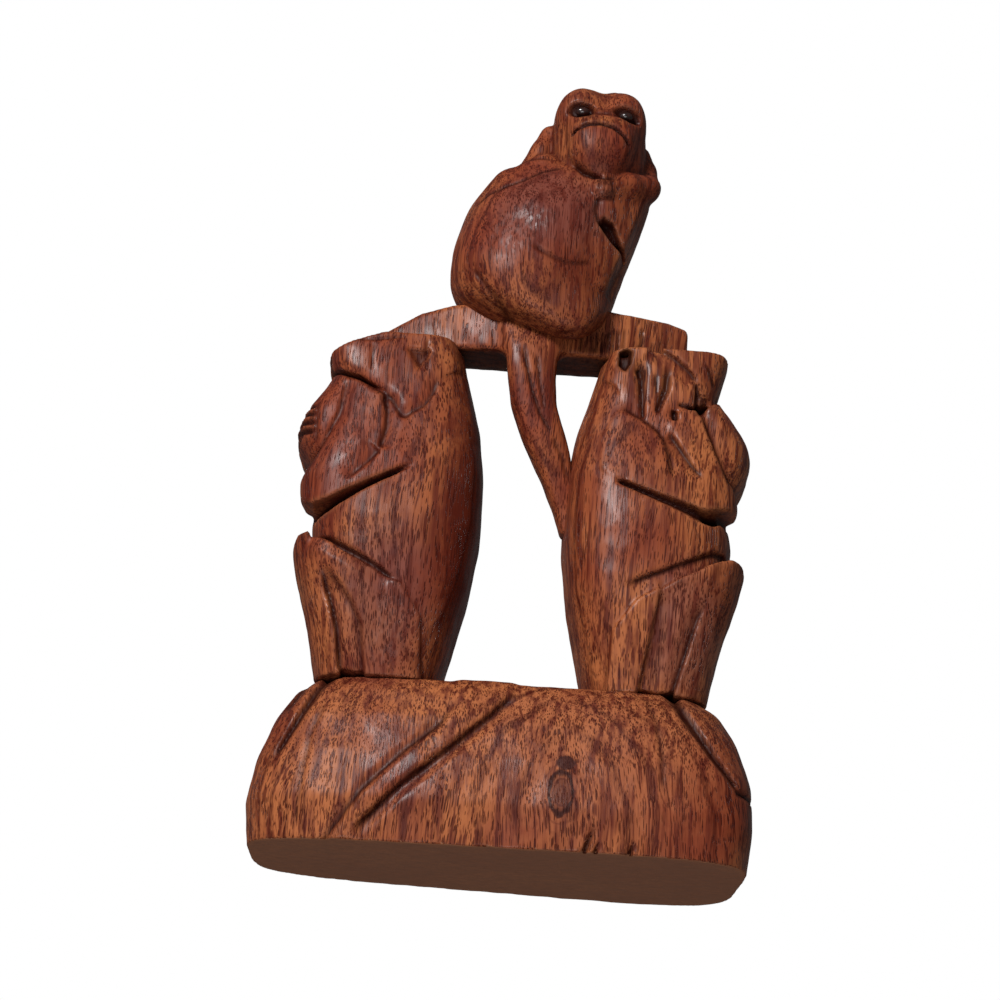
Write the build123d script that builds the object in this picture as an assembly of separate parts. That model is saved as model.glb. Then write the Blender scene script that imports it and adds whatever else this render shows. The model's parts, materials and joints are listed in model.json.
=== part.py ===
"""Carved hardwood ornament: two monkeys crouch back to back on a half log, a perch lies across
their heads, and a third monkey sits on the perch with its tail hanging to the right monkey's back.

The real carving is cut from one block. Here each carved member is its own solid: members meet face
to face along their saw cuts, and nothing moves. Frame: millimetres, +Z up, the log's underside on
Z = 0, X across the front, and the front of the carving towards -Y.
"""

import math
import os

from build123d import *

# Half log that everything stands on
log_width = 118.0
log_height = 40.5
log_depth = 64.0

# Crouching monkeys: height from the log to the crown, reach from the carving's middle, depth
crouch_height = 90.0
crouch_reach = 56.0
crouch_depth = 43.0
limb_inset = 8.5
left_monkey_shift = 1.2
right_monkey_shift = 1.6

# Tail and feet carved in relief on the log
relief_height = 1.4
tail_band_inset = 13.0
foot_gap = 5.0
tail_groove_width = 2.6
foot_groove_width = 3.0

# Perch across the heads
perch_length = 78.0
perch_depth = 24.0
perch_height = 12.5
perch_centre_x = 2.0

# Sitting monkey: height above the perch, width, depth, eyes and tail
sitter_height = 66.5
sitter_width = 52.0
sitter_depth = 38.0
sitter_centre_x = 3.5
eye_radius = 2.4
hanging_tail_length = 60.0

# Points round each rounded section, and how square the sections of each form are (2 is an ellipse)
section_points = 16
log_squareness = 4.5
torso_squareness = 3.0
limb_squareness = 3.2
head_squareness = 4.0
sitter_squareness = 2.4

# Overrun of every cut past the form it cuts
overrun = 40.0

log_top = log_height
crown_top = log_top + crouch_height
perch_top = crown_top + perch_height


def between(low, high, share):
    return low + (high - low) * share


def level_section(z, x_pair, front_pair, back_pair, squareness):
    """Closed rounded outline at height z; the front and back pairs give y at the left and right end."""
    points = []
    for index in range(section_points):
        angle = 2 * math.pi * index / section_points
        across, along = [math.copysign(abs(value) ** (2 / squareness), value)
                         for value in (math.cos(angle), math.sin(angle))]
        x_share = (across + 1) / 2
        front = between(*front_pair, x_share)
        back = between(*back_pair, x_share)
        points.append((between(*x_pair, x_share), between(front, back, (along + 1) / 2), z))
    return make_face(Spline(*points, periodic=True))


def front_prism(points, y_near, y_far):
    """Outline drawn in the front view, cut straight through from y_near (front) to y_far."""
    placed = Plane(origin=(0, y_far, 0), x_dir=(1, 0, 0), z_dir=(0, -1, 0))
    return extrude(placed * make_face(Polyline(*points, close=True)), amount=y_far - y_near)


def one_solid(shape, cutters=()):
    """Shape less each cutter in turn; only its largest solid, so that no crumb of a cut is kept."""
    for cutter in cutters:
        shape = shape - cutter
    return max(shape.solids(), key=lambda solid: solid.volume)


def ball(centre, radii):
    """Egg shape of three half sizes."""
    return Pos(*centre) * scale(Sphere(1), by=radii)


# Log sections: height share; left and right end as shares of half the width; then the y of the
# front's left and right end and the back's left and right end as shares of the depth
log_section_shares = (
    (0.00, 0.96, 0.97, -0.38, -0.485, 0.38, 0.50), (0.25, 0.995, 0.99, -0.40, -0.490, 0.40, 0.50),
    (0.50, 0.945, 0.965, -0.38, -0.465, 0.38, 0.475), (0.75, 0.885, 0.91, -0.34, -0.405, 0.34, 0.415),
    (0.92, 0.815, 0.84, -0.30, -0.350, 0.30, 0.360), (1.00, 0.74, 0.755, -0.27, -0.310, 0.27, 0.315),
)

# Relief outlines in the front view, as shares of half the log's width and of its height
tail_band_shares = ((0.04, 1.20), (-0.20, 1.20), (-0.20, 0.81), (-0.26, 0.68), (-0.40, 0.49),
                    (-0.54, 0.27), (-0.72, -0.20), (-0.62, -0.20), (-0.56, 0.03), (-0.385, 0.31),
                    (-0.20, 0.55), (-0.06, 0.76), (0.03, 0.89))
left_foot_shares = ((-0.66, 1.20), (-0.70, 0.93), (-0.735, 0.88), (-0.785, 0.73), (-0.83, 0.58),
                    (-0.885, 0.44), (-1.20, 0.38), (-1.20, 1.20))
right_foot_shares = ((0.56, 1.20), (0.60, 0.96), (0.645, 0.83), (0.766, 0.60), (0.905, 0.43),
                     (1.20, 0.38), (1.20, 1.20))

# Lines of the grooves below the tail and beside the feet, as the same shares
tail_groove_shares = ((0.05, 0.96), (-0.06, 0.76), (-0.20, 0.56), (-0.385, 0.315), (-0.56, 0.03))
left_foot_groove_shares = ((-0.695, 1.0), (-0.79, 0.75), (-0.89, 0.43))
right_foot_groove_shares = ((0.65, 1.0), (0.705, 0.85), (0.925, 0.42))


def log_front(x, z):
    """Y of the log's front face at one place of the front view."""
    z_share = z / log_height
    rows = log_section_shares
    below = max(index for index, row in enumerate(rows[:-1]) if row[0] <= max(z_share, 0))
    share = min(1, (z_share - rows[below][0]) / (rows[below + 1][0] - rows[below][0]))
    left, right, front_left, front_right = [between(rows[below][column], rows[below + 1][column], share)
                                            for column in range(1, 5)]
    x_share = (x * 2 / log_width + left) / (left + right)
    bulge = max(0, 1 - abs(2 * x_share - 1) ** log_squareness) ** (1 / log_squareness)
    return between(front_left, front_right, x_share) * log_depth * bulge


def log_grooves(line_shares, width, far_too=False):
    """Square bars laid on edge along a line of the log's face; they cut a groove of the given width."""
    spots = [(x_share * log_width / 2, z_share * log_height) for x_share, z_share in line_shares]
    bars = []
    for side in (1, -1) if far_too else (1,):
        places = [Vector(x, side * (log_front(x, z) - relief_height / 2), z) for x, z in spots]
        for start, end in zip(places[:-1], places[1:]):
            along = end - start
            bar = Box(along.length + width, width / math.sqrt(2), width / math.sqrt(2), rotation=(45, 0, 0))
            bars.append(Plane(origin=(start + end) / 2, x_dir=along, z_dir=along.cross(Vector(0, 0, 1))) * bar)
    return bars


def make_log():
    """The log, with the tail and feet that lie on it in relief and the grooves beside them."""

    def form(swell):
        faces = []
        for z_share, left, right, front_left, front_right, back_left, back_right in log_section_shares:
            x_pair = (-left * log_width / 2 - swell, right * log_width / 2 + swell)
            front_pair = (front_left * log_depth - swell, front_right * log_depth - swell)
            back_pair = (back_left * log_depth + swell, back_right * log_depth + swell)
            faces.append(level_section(z_share * log_height, x_pair, front_pair, back_pair, log_squareness))
        return loft(faces, ruled=True)

    def prism(shares, y_near, y_far):
        points = [(x_share * log_width / 2, z_share * log_height) for x_share, z_share in shares]
        return front_prism(points, y_near, y_far)

    cutters = {
        "left_monkey_tail": prism(tail_band_shares, -overrun, -tail_band_inset),
        "left_monkey_near_foot": prism(left_foot_shares, -overrun, -foot_gap / 2),
        "left_monkey_far_foot": prism(left_foot_shares, foot_gap / 2, overrun),
        "right_monkey_near_foot": prism(right_foot_shares, -overrun, -foot_gap / 2),
        "right_monkey_far_foot": prism(right_foot_shares, foot_gap / 2, overrun),
    }
    swollen = form(relief_height)
    members = {name: one_solid(swollen & cutter) for name, cutter in cutters.items()}
    members["half_log_base"] = one_solid(form(0), cutters.values())
    grooves = {
        "tail": log_grooves(tail_groove_shares, tail_groove_width),
        "left": log_grooves(left_foot_groove_shares, foot_groove_width, far_too=True),
        "right": log_grooves(right_foot_groove_shares, foot_groove_width, far_too=True),
    }
    for bar in [bar for bars in grooves.values() for bar in bars]:
        members["half_log_base"] = one_solid(members["half_log_base"] - bar)
    touched = {"left_monkey_tail": "tail", "left_monkey_near_foot": "left", "left_monkey_far_foot": "left",
               "right_monkey_near_foot": "right", "right_monkey_far_foot": "right"}
    for name, line in touched.items():
        members[name] = one_solid(members[name], grooves[line])
    return members


# Crouching monkey sections: height share, back and front reach shares, half-depth share
crouch_torso_shares = (
    (0.00, 0.31, 0.805, 0.80), (0.12, 0.27, 0.825, 0.89), (0.28, 0.215, 0.87, 0.97),
    (0.45, 0.18, 0.90, 1.00), (0.62, 0.18, 0.86, 0.95), (0.76, 0.21, 0.79, 0.86),
    (0.88, 0.265, 0.735, 0.77), (0.96, 0.305, 0.705, 0.71),
)
crouch_limb_shares = (
    (0.00, 0.29, 0.845, 0.86), (0.15, 0.26, 0.895, 0.95), (0.30, 0.21, 0.965, 1.02),
    (0.41, 0.18, 1.00, 1.04), (0.50, 0.18, 0.965, 1.01), (0.62, 0.19, 0.955, 0.96),
    (0.78, 0.23, 0.885, 0.89), (0.92, 0.29, 0.85, 0.82),
)
crouch_head_shares = (
    (0.70, 0.26, 0.84, 0.80), (0.84, 0.28, 0.88, 0.83), (0.94, 0.31, 0.905, 0.82),
    (1.00, 0.345, 0.89, 0.76),
)
leg_outline_shares = (
    (1.10, 0.39), (0.96, 0.388), (0.88, 0.378), (0.81, 0.363), (0.745, 0.338), (0.62, 0.30),
    (0.495, 0.25), (0.40, 0.16), (0.38, -0.02), (1.10, -0.02),
)
left_arm_shares = (
    (0.89, 0.455), (1.00, 0.485), (1.10, 0.53), (1.10, 0.57), (0.95, 0.545), (0.893, 0.639),
    (0.829, 0.739), (0.80, 0.86), (0.67, 0.83), (0.63, 0.783), (0.618, 0.733), (0.62, 0.686),
    (0.639, 0.628), (0.50, 0.692), (0.375, 0.672), (0.375, 0.612), (0.479, 0.588), (0.657, 0.526),
)
right_arm_shares = (
    (0.786, 0.497), (1.10, 0.521), (1.10, 0.572), (0.90, 0.588), (0.821, 0.69), (0.75, 0.781),
    (0.688, 0.81), (0.625, 0.792), (0.579, 0.721), (0.543, 0.748), (0.482, 0.774), (0.382, 0.794),
    (0.312, 0.717), (0.312, 0.617), (0.393, 0.579), (0.495, 0.553), (0.607, 0.529),
)
left_head_shares = (
    (0.97, 0.881), (0.864, 0.874), (0.804, 0.857), (0.754, 0.848), (0.664, 0.812), (0.614, 0.799),
    (0.589, 0.777), (0.552, 0.73), (0.507, 0.753), (0.46, 0.774), (0.40, 0.86), (0.30, 0.91),
    (0.10, 0.91), (0.10, 1.20), (0.66, 1.20), (0.67, 0.997), (0.97, 0.915),
)
right_head_shares = (
    (0.97, 0.877), (0.839, 0.871), (0.795, 0.839), (0.723, 0.823), (0.661, 0.81), (0.589, 0.775),
    (0.518, 0.785), (0.429, 0.80), (0.366, 0.871), (0.30, 0.91), (0.10, 0.91), (0.10, 1.20),
    (0.97, 1.20),
)
muzzle_centre_shares = (0.83, 0.735)
muzzle_size_shares = (0.20, 0.34, 0.135)
far_arm_reach_share = 0.91


def crouching_monkey(side, shift, arm_shares, head_shares):
    """Members of one crouching monkey that looks outwards; side is -1 for the left one, 1 for the right."""

    def place(x_share, z_share):
        return side * (shift + x_share * crouch_reach), log_top + z_share * crouch_height

    def form(table, squareness):
        faces = []
        for z_share, back_share, front_share, half_share in table:
            x_back, z = place(back_share, z_share)
            x_front = place(front_share, z_share)[0]
            half = half_share * crouch_depth / 2
            x_pair = (min(x_back, x_front), max(x_back, x_front))
            faces.append(level_section(z, x_pair, (-half, -half), (half, half), squareness))
        return loft(faces, ruled=True)

    def prism(shares, y_near, y_far):
        return front_prism([place(x_share, z_share) for x_share, z_share in shares], y_near, y_far)

    torso = form(crouch_torso_shares, torso_squareness)
    limbs = form(crouch_limb_shares, limb_squareness)
    head_prism = prism(head_shares, -overrun, overrun)
    cutters = {}
    for name, shares in (("leg", leg_outline_shares), ("arm", arm_shares)):
        cutters[f"near_{name}"] = prism(shares, -overrun, -limb_inset) - head_prism
        reach_share = far_arm_reach_share if name == "arm" else max(shares)[0]
        far_shares = [(min(x_share, reach_share), z_share) for x_share, z_share in shares]
        cutters[f"far_{name}"] = prism(far_shares, limb_inset, overrun) - head_prism
    members = {name: one_solid(limbs & cutter) for name, cutter in cutters.items()}
    members["head"] = one_solid(form(crouch_head_shares, head_squareness) & head_prism)
    members["torso"] = one_solid(torso - [head_prism, *cutters.values()])
    muzzle_x, muzzle_z = place(*muzzle_centre_shares)
    radii = (muzzle_size_shares[0] * crouch_reach, muzzle_size_shares[1] * crouch_depth,
             muzzle_size_shares[2] * crouch_height)
    neighbours = [members[name] for name in ("torso", "head", "near_arm", "far_arm")]
    members["muzzle"] = one_solid(ball((muzzle_x, 0, muzzle_z), radii), neighbours)
    return members


# Perch: end shares of its bowed plan, and its front outline, which droops at the left end
perch_front_shares = (-0.4, -0.12)
perch_back_shares = (0.6, 0.30)
perch_outline_shares = ((-0.6, 0.0), (-0.6, 0.30), (-0.5, 0.48), (-0.38, 0.80), (-0.28, 0.96),
                        (-0.2, 1.0), (0.44, 1.0), (0.5, 0.95), (0.6, 0.9), (0.6, 0.0))
perch_bevel_shares = ((0.20, 0.0), (2.0, 0.0), (2.0, 2.0), (0.6, 0.5))


def make_perch():
    half = perch_length / 2
    front_middle, front_end = [share * perch_depth for share in perch_front_shares]
    back_middle, back_end = [share * perch_depth for share in perch_back_shares]
    plan = make_face([
        ThreePointArc((-half, front_end), (0, front_middle), (half, front_end)),
        Line((half, front_end), (half, back_end)),
        ThreePointArc((half, back_end), (0, back_middle), (-half, back_end)),
        Line((-half, back_end), (-half, front_end)),
    ])
    board = extrude(Plane.XY.offset(crown_top) * Pos(perch_centre_x, 0) * plan, amount=perch_height)
    outline = [(perch_centre_x + x_share * perch_length, crown_top + z_share * perch_height)
               for x_share, z_share in perch_outline_shares]
    board = board & front_prism(outline, -overrun, overrun)
    bevel = [(y_share * perch_depth, crown_top + z_share * perch_height)
             for y_share, z_share in perch_bevel_shares]
    bevel_face = Plane.YZ * make_face(Polyline(*bevel, close=True))
    return one_solid(board - extrude(bevel_face, amount=perch_length, both=True))


# Sitting monkey sections: height share above the perch, then low and high x, low and high y as
# shares of its width and depth
sitter_torso_shares = (
    (-0.155, 0.087, 0.183, -0.45, -0.32), (-0.105, -0.048, 0.23, -0.51, -0.21),
    (-0.045, -0.22, 0.29, -0.53, 0.00), (0.015, -0.395, 0.327, -0.53, 0.26),
    (0.12, -0.47, 0.356, -0.54, 0.42), (0.265, -0.47, 0.404, -0.53, 0.45),
    (0.415, -0.433, 0.46, -0.50, 0.42), (0.535, -0.356, 0.50, -0.42, 0.37),
    (0.62, -0.23, 0.49, -0.32, 0.29), (0.70, -0.087, 0.394, -0.24, 0.24),
)
sitter_head_shares = (
    (0.535, 0.01, 0.45, -0.37, 0.21), (0.62, 0.0, 0.47, -0.42, 0.26), (0.74, 0.0, 0.48, -0.45, 0.31),
    (0.86, 0.0, 0.47, -0.45, 0.29), (0.95, 0.05, 0.433, -0.37, 0.24), (1.0, 0.125, 0.365, -0.24, 0.13),
)
hanging_tail_shares = (
    (0.00, -0.21, 0.155, -0.36, -0.20), (0.20, -0.175, 0.085, -0.36, -0.15), (0.33, -0.155, 0.085, -0.34, -0.12),
    (0.46, -0.13, 0.10, -0.32, -0.09), (0.61, -0.055, 0.155, -0.29, -0.06), (0.76, 0.035, 0.197, -0.25, -0.03),
    (0.90, 0.105, 0.215, -0.21, -0.01), (1.00, 0.145, 0.22, -0.18, -0.02),
)

# Sitting monkey balls: centre shares and half-size shares of its width, depth and height
sitter_ball_shares = {
    "muzzle": ((0.235, -0.42, 0.635), (0.165, 0.22, 0.135)),
    "left_leg": ((-0.175, -0.17, 0.18), (0.31, 0.45, 0.19)),
    "right_leg": ((0.185, -0.17, 0.215), (0.205, 0.43, 0.22)),
    "left_brow": ((0.12, -0.36, 0.885), (0.105, 0.12, 0.075)),
    "right_brow": ((0.36, -0.36, 0.88), (0.105, 0.12, 0.075)),
}
eye_centre_shares = {"left_eye": (0.125, -0.445, 0.83), "right_eye": (0.36, -0.445, 0.825)}

# Sitting monkey arms: centre shares of shoulder, elbow, wrist and fingertips, with a radius share each
sitter_arm_shares = {
    "left_arm": ((-0.33, -0.10, 0.36, 0.06), (-0.265, -0.16, 0.47, 0.10), (-0.14, -0.18, 0.58, 0.09),
                 (-0.035, -0.12, 0.73, 0.08), (-0.005, -0.10, 0.85, 0.05)),
    "right_arm": ((0.38, -0.10, 0.36, 0.06), (0.43, -0.18, 0.48, 0.09), (0.45, -0.16, 0.62, 0.085),
                  (0.45, -0.05, 0.75, 0.065), (0.43, -0.02, 0.84, 0.05)),
}


def sitter_point(x_share, y_share, z_share):
    return (sitter_centre_x + x_share * sitter_width, y_share * sitter_depth,
            perch_top + z_share * sitter_height)


def sitter_form(table):
    faces = []
    for z_share, x_low, x_high, y_low, y_high in table:
        low_x, low_y, z = sitter_point(x_low, y_low, z_share)
        high_x, high_y, z = sitter_point(x_high, y_high, z_share)
        faces.append(level_section(z, (low_x, high_x), (low_y, low_y), (high_y, high_y), sitter_squareness))
    return loft(faces, ruled=True)


def sitter_ball(name):
    centre_shares, size_shares = sitter_ball_shares[name]
    sizes = (sitter_width, sitter_depth, sitter_height)
    return ball(sitter_point(*centre_shares), tuple(share * size for share, size in zip(size_shares, sizes)))


def sitter_arm(name):
    """Arm as round sections across the line through its joints."""
    centres = [Vector(*sitter_point(*row[:3])) for row in sitter_arm_shares[name]]
    faces = []
    for index, row in enumerate(sitter_arm_shares[name]):
        before = centres[max(index - 1, 0)]
        after = centres[min(index + 1, len(centres) - 1)]
        faces.append(Plane(centres[index], z_dir=after - before) * Circle(row[3] * sitter_width))
    return loft(faces, ruled=True)


def sitting_monkey(perch):
    """Members of the monkey that sits on the perch with its hands at its ears."""
    torso = one_solid(sitter_form(sitter_torso_shares) - perch)
    members = {"torso": torso}
    for name, centre_shares in eye_centre_shares.items():
        members[name] = Pos(*sitter_point(*centre_shares)) * Sphere(eye_radius)
    eyes = [members[name] for name in eye_centre_shares]
    members["head"] = one_solid(sitter_form(sitter_head_shares), [torso, *eyes])
    members["muzzle"] = one_solid(sitter_ball("muzzle"), [torso, members["head"]])
    for side in ("left", "right"):
        members[f"{side}_brow"] = one_solid(sitter_ball(f"{side}_brow"), [members["head"], members[f"{side}_eye"]])
        members[f"{side}_leg"] = one_solid(sitter_ball(f"{side}_leg"), [torso, perch])
        neighbours = [torso, members["head"], members[f"{side}_leg"]]
        members[f"{side}_arm"] = one_solid(sitter_arm(f"{side}_arm"), neighbours)
    return members


def hanging_tail(obstacles):
    """Tail from the perch's front edge down to the right monkey's back."""
    faces = []
    for drop_share, x_low, x_high, y_low, y_high in hanging_tail_shares:
        low_x, low_y, _ = sitter_point(x_low, y_low, 0)
        high_x, high_y, _ = sitter_point(x_high, y_high, 0)
        z = perch_top - drop_share * hanging_tail_length
        faces.append(level_section(z, (low_x, high_x), (low_y, low_y), (high_y, high_y), limb_squareness))
    return one_solid(loft(faces, ruled=True), obstacles)


solids = make_log()
perch = make_perch()
groups = {
    "left_monkey": crouching_monkey(-1, -left_monkey_shift, left_arm_shares, left_head_shares),
    "right_monkey": crouching_monkey(1, right_monkey_shift, right_arm_shares, right_head_shares),
    "top_monkey": sitting_monkey(perch),
}
for prefix, members in groups.items():
    for name, solid in members.items():
        solids[f"{prefix}_{name}"] = solid
neighbours = [groups["right_monkey"][name] for name in ("torso", "near_leg", "near_arm", "head")]
solids["perch"] = perch
solids["top_monkey_tail"] = hanging_tail([perch, groups["top_monkey"]["torso"], *neighbours])

os.makedirs("parts", exist_ok=True)
for name, solid in solids.items():
    export_step(solid, f"parts/{name}.step")
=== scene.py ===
# %% [markdown]
# # Carved monkey ornament
# The real ornament is carved by hand from one block of tropical hardwood, stained in its cuts and
# varnished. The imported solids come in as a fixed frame. This lesson carves the finished surface in the
# same place and at the same sizes, and sets a plain studio round it.
# Brush sculpting can't be repeated from a script, and a subdivided box can't hold the sharp stop of a
# chisel. So the carving is worked out on a fine grid: every form is a field of distances in millimetres,
# negative inside the wood. Forms are joined, cut and grooved there, and the zero surface is the mesh.

# %% Load the frame
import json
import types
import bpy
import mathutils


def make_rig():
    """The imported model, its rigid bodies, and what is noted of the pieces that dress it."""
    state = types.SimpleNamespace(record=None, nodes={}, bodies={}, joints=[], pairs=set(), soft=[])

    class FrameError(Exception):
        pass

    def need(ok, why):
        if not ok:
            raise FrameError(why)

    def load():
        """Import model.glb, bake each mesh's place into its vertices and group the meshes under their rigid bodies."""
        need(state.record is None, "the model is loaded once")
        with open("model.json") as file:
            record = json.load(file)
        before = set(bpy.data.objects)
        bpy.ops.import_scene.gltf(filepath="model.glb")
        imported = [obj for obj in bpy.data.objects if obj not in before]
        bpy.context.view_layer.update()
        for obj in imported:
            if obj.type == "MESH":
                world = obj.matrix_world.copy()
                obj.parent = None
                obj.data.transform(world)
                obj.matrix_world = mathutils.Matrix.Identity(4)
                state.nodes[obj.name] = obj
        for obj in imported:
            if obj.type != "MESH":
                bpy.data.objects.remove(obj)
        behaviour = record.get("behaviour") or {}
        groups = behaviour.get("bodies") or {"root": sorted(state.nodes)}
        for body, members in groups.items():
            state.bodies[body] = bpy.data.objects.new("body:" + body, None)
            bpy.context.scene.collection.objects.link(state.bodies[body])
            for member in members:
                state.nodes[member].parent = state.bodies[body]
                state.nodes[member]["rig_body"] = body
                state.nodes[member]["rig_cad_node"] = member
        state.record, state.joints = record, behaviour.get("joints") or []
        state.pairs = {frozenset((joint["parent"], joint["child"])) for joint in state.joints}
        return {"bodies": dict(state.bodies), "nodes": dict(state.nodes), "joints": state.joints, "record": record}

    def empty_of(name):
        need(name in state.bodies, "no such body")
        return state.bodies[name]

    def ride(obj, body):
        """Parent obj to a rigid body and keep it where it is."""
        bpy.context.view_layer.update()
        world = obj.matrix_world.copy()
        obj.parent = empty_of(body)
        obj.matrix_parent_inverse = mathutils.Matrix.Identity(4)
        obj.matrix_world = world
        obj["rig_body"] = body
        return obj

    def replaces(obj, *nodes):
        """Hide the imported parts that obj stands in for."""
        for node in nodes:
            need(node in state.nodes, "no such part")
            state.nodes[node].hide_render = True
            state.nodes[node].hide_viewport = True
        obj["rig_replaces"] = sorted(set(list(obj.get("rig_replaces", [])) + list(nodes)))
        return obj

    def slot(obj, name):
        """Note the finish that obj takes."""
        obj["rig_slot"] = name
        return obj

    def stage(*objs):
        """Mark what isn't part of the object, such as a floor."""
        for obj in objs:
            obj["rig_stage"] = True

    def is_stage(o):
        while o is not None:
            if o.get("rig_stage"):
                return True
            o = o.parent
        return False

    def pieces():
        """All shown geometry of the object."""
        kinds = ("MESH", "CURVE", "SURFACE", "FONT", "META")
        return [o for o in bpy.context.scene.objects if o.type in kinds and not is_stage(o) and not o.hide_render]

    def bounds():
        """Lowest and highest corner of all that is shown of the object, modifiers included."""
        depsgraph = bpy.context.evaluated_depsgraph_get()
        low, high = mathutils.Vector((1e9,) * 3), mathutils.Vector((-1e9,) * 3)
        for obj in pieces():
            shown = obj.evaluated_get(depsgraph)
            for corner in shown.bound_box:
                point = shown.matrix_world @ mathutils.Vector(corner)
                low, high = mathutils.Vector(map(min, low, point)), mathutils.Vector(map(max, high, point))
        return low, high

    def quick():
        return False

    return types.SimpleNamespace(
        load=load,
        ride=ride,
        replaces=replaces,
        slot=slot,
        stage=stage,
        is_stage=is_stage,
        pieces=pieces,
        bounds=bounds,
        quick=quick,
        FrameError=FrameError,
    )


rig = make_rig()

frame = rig.load()

import json
import math
from functools import partial

import bpy
import numpy as np
from mathutils import Matrix, Vector

CAD_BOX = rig.bounds()
print("frame loaded:", len(frame["nodes"]), "solids, box", [round(v, 4) for v in CAD_BOX[1]])


# %% [markdown]
# ## Units and grid
# Sizes are written in millimetres and turned to metres once, when a mesh is made. The grid is fine
# enough for a 1 mm chisel line on the figures, and coarser on the log, whose cuts are broader.

# %% Units and grid
MM = 0.001
LOG_GRID = 0.95 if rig.quick() else 0.6
FIGURE_GRID = 0.85 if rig.quick() else 0.48
EYE_GRID = 0.6 * FIGURE_GRID
FAR = 9.0
print("grid", LOG_GRID, "mm on the log and", FIGURE_GRID, "mm on the figures")


# %% [markdown]
# ## The carver's tools
# A block is a box of wood on the grid. Its field says how far each point is from the surface, up to the
# distance FAR, and its stain and shade value says how much dark stain and painted shade lie there. Both
# gather where a tool cuts, so one call sinks the surface and darkens it.

# %% Block of wood
class Block:
    def __init__(self, low, high, grid):
        self.low = np.array(low, dtype=np.float64)
        self.grid = grid
        x, y, z = [np.arange(low[i], high[i] + grid, grid, dtype=np.float32) for i in range(3)]
        self.x = x[:, None, None]
        self.y = y[None, :, None]
        self.z = z[None, None, :]
        self.field = np.full((x.size, y.size, z.size), FAR, dtype=np.float32)
        self.stain = np.zeros_like(self.field)

    def add(self, form, blend):
        self.field = soft_min(self.field, form, blend)

    # Darkens the wood; the value stands for stain and painted shade alike.
    def darken(self, stain):
        self.stain = np.maximum(self.stain, stain)

    def sink(self, depth, stain):
        self.field += depth
        self.darken(stain)


def soft_min(a, b, blend):
    """Joins two forms, with a fillet about as wide as the blend where they meet."""
    h = np.clip(blend - np.abs(a - b), 0, None) / blend
    return np.minimum(a, b) - h * h * blend * 0.25


def soft_max(a, b, blend):
    """Keeps what lies in both forms, with a softened edge."""
    return -soft_min(-a, -b, blend)


def ease(value):
    """Smooth step from 0 to 1."""
    value = np.clip(value, 0, 1)
    return value * value * (3 - 2 * value)


def limited(form):
    return np.clip(form, -FAR, FAR).astype(np.float32)


print("block ready")


# %% [markdown]
# ## Forms
# A figure's body and limbs change their section from foot to head, so each is a loft through level
# sections at several heights. Heads and bellies get balls of three radii, and thin arms get rods.

# %% Forms
PAST_ENDS = 12
ROW_STEP = 0.5


def column(z, heights, values, soften):
    """One size of the sections at every grid height, eased between the rows."""
    fine = np.arange(heights[0] - PAST_ENDS, heights[-1] + PAST_ENDS, ROW_STEP)
    window = np.hanning(int(soften * 4) + 3)
    line = np.pad(np.interp(fine, heights, values), len(window) // 2, mode="edge")
    line = np.convolve(line, window / window.sum(), mode="valid")
    return np.interp(z.ravel(), fine, line[:len(fine)]).astype(np.float32)[None, None, :]


def lofted(block, rows, square, cap=1.5, soften=3.0, capped=(True, True)):
    """Loft through level sections, an ellipse at square 2 and squarer above it, with rounded caps.

    A row holds height, low x, high x, front y and back y, or a front pair and a back pair of y, which
    give the y at the low and at the high x.
    """
    rows = [row if len(row) == 7 else (*row[:3], row[3], row[3], row[4], row[4]) for row in rows]
    rows = np.array(sorted(rows), dtype=float)
    sizes = [column(block.z, rows[:, 0], rows[:, k], soften) for k in range(1, 7)]
    low, high, front_low, front_high, back_low, back_high = sizes
    share = np.clip((block.x - low) / (high - low), -0.1, 1.1)
    front = front_low + (front_high - front_low) * share
    back = back_low + (back_high - back_low) * share
    half_x = (high - low) / 2
    half_y = (back - front) / 2
    u = np.abs(block.x - (low + high) / 2) / half_x
    v = np.abs(block.y - (front + back) / 2) / half_y
    reach = np.maximum((u ** square + v ** square) ** (1 / square), 0.25)
    slope = np.sqrt((u ** (square - 1) / half_x) ** 2 + (v ** (square - 1) / half_y) ** 2)
    slope = slope * reach ** (1 - square)
    form = limited((reach - 1) / np.maximum(slope, 0.01))
    if capped[0]:
        form = soft_max(form, rows[0, 0] - block.z, cap)
    if capped[1]:
        form = soft_max(form, block.z - rows[-1, 0], cap)
    return form.astype(np.float32)


def egg(block, centre, radii, lean=0.0):
    """Ball of three radii, leaned in the front view by an angle in degrees."""
    x, y, z = block.x - centre[0], block.y - centre[1], block.z - centre[2]
    c, s = math.cos(math.radians(lean)), math.sin(math.radians(lean))
    x, z = x * c + z * s, z * c - x * s
    share = np.sqrt((x / radii[0]) ** 2 + (y / radii[1]) ** 2 + (z / radii[2]) ** 2)
    slope = np.sqrt((x / radii[0] ** 2) ** 2 + (y / radii[1] ** 2) ** 2 + (z / radii[2] ** 2) ** 2)
    return limited(share * (share - 1) / np.maximum(slope, 1e-4))


def rod(block, joints):
    """Round limb through joints, each given as x, y, z and radius."""
    axes = (block.x, block.y, block.z)
    form = None
    for a, b in zip(joints[:-1], joints[1:]):
        step = np.array(b[:3]) - np.array(a[:3])
        t = sum((axis - a[i]) * step[i] for i, axis in enumerate(axes))
        t = np.clip(t / float(step @ step), 0, 1)
        gap = np.sqrt(sum((axis - a[i] - t * step[i]) ** 2 for i, axis in enumerate(axes)))
        piece = gap - (a[3] + t * (b[3] - a[3]))
        form = piece if form is None else soft_min(form, piece, 1.5)
    return limited(form)


print("forms ready")


# %% [markdown]
# ## Lines drawn on the wood
# A carver pencils outlines and cuts on the block's faces. Here they are drawn in a view as well: the
# front view gives points (x, z) and the side view gives (y, z). The map of a line holds, for each point
# of the view, how far away the line is, on which side, and how far along it.

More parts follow.
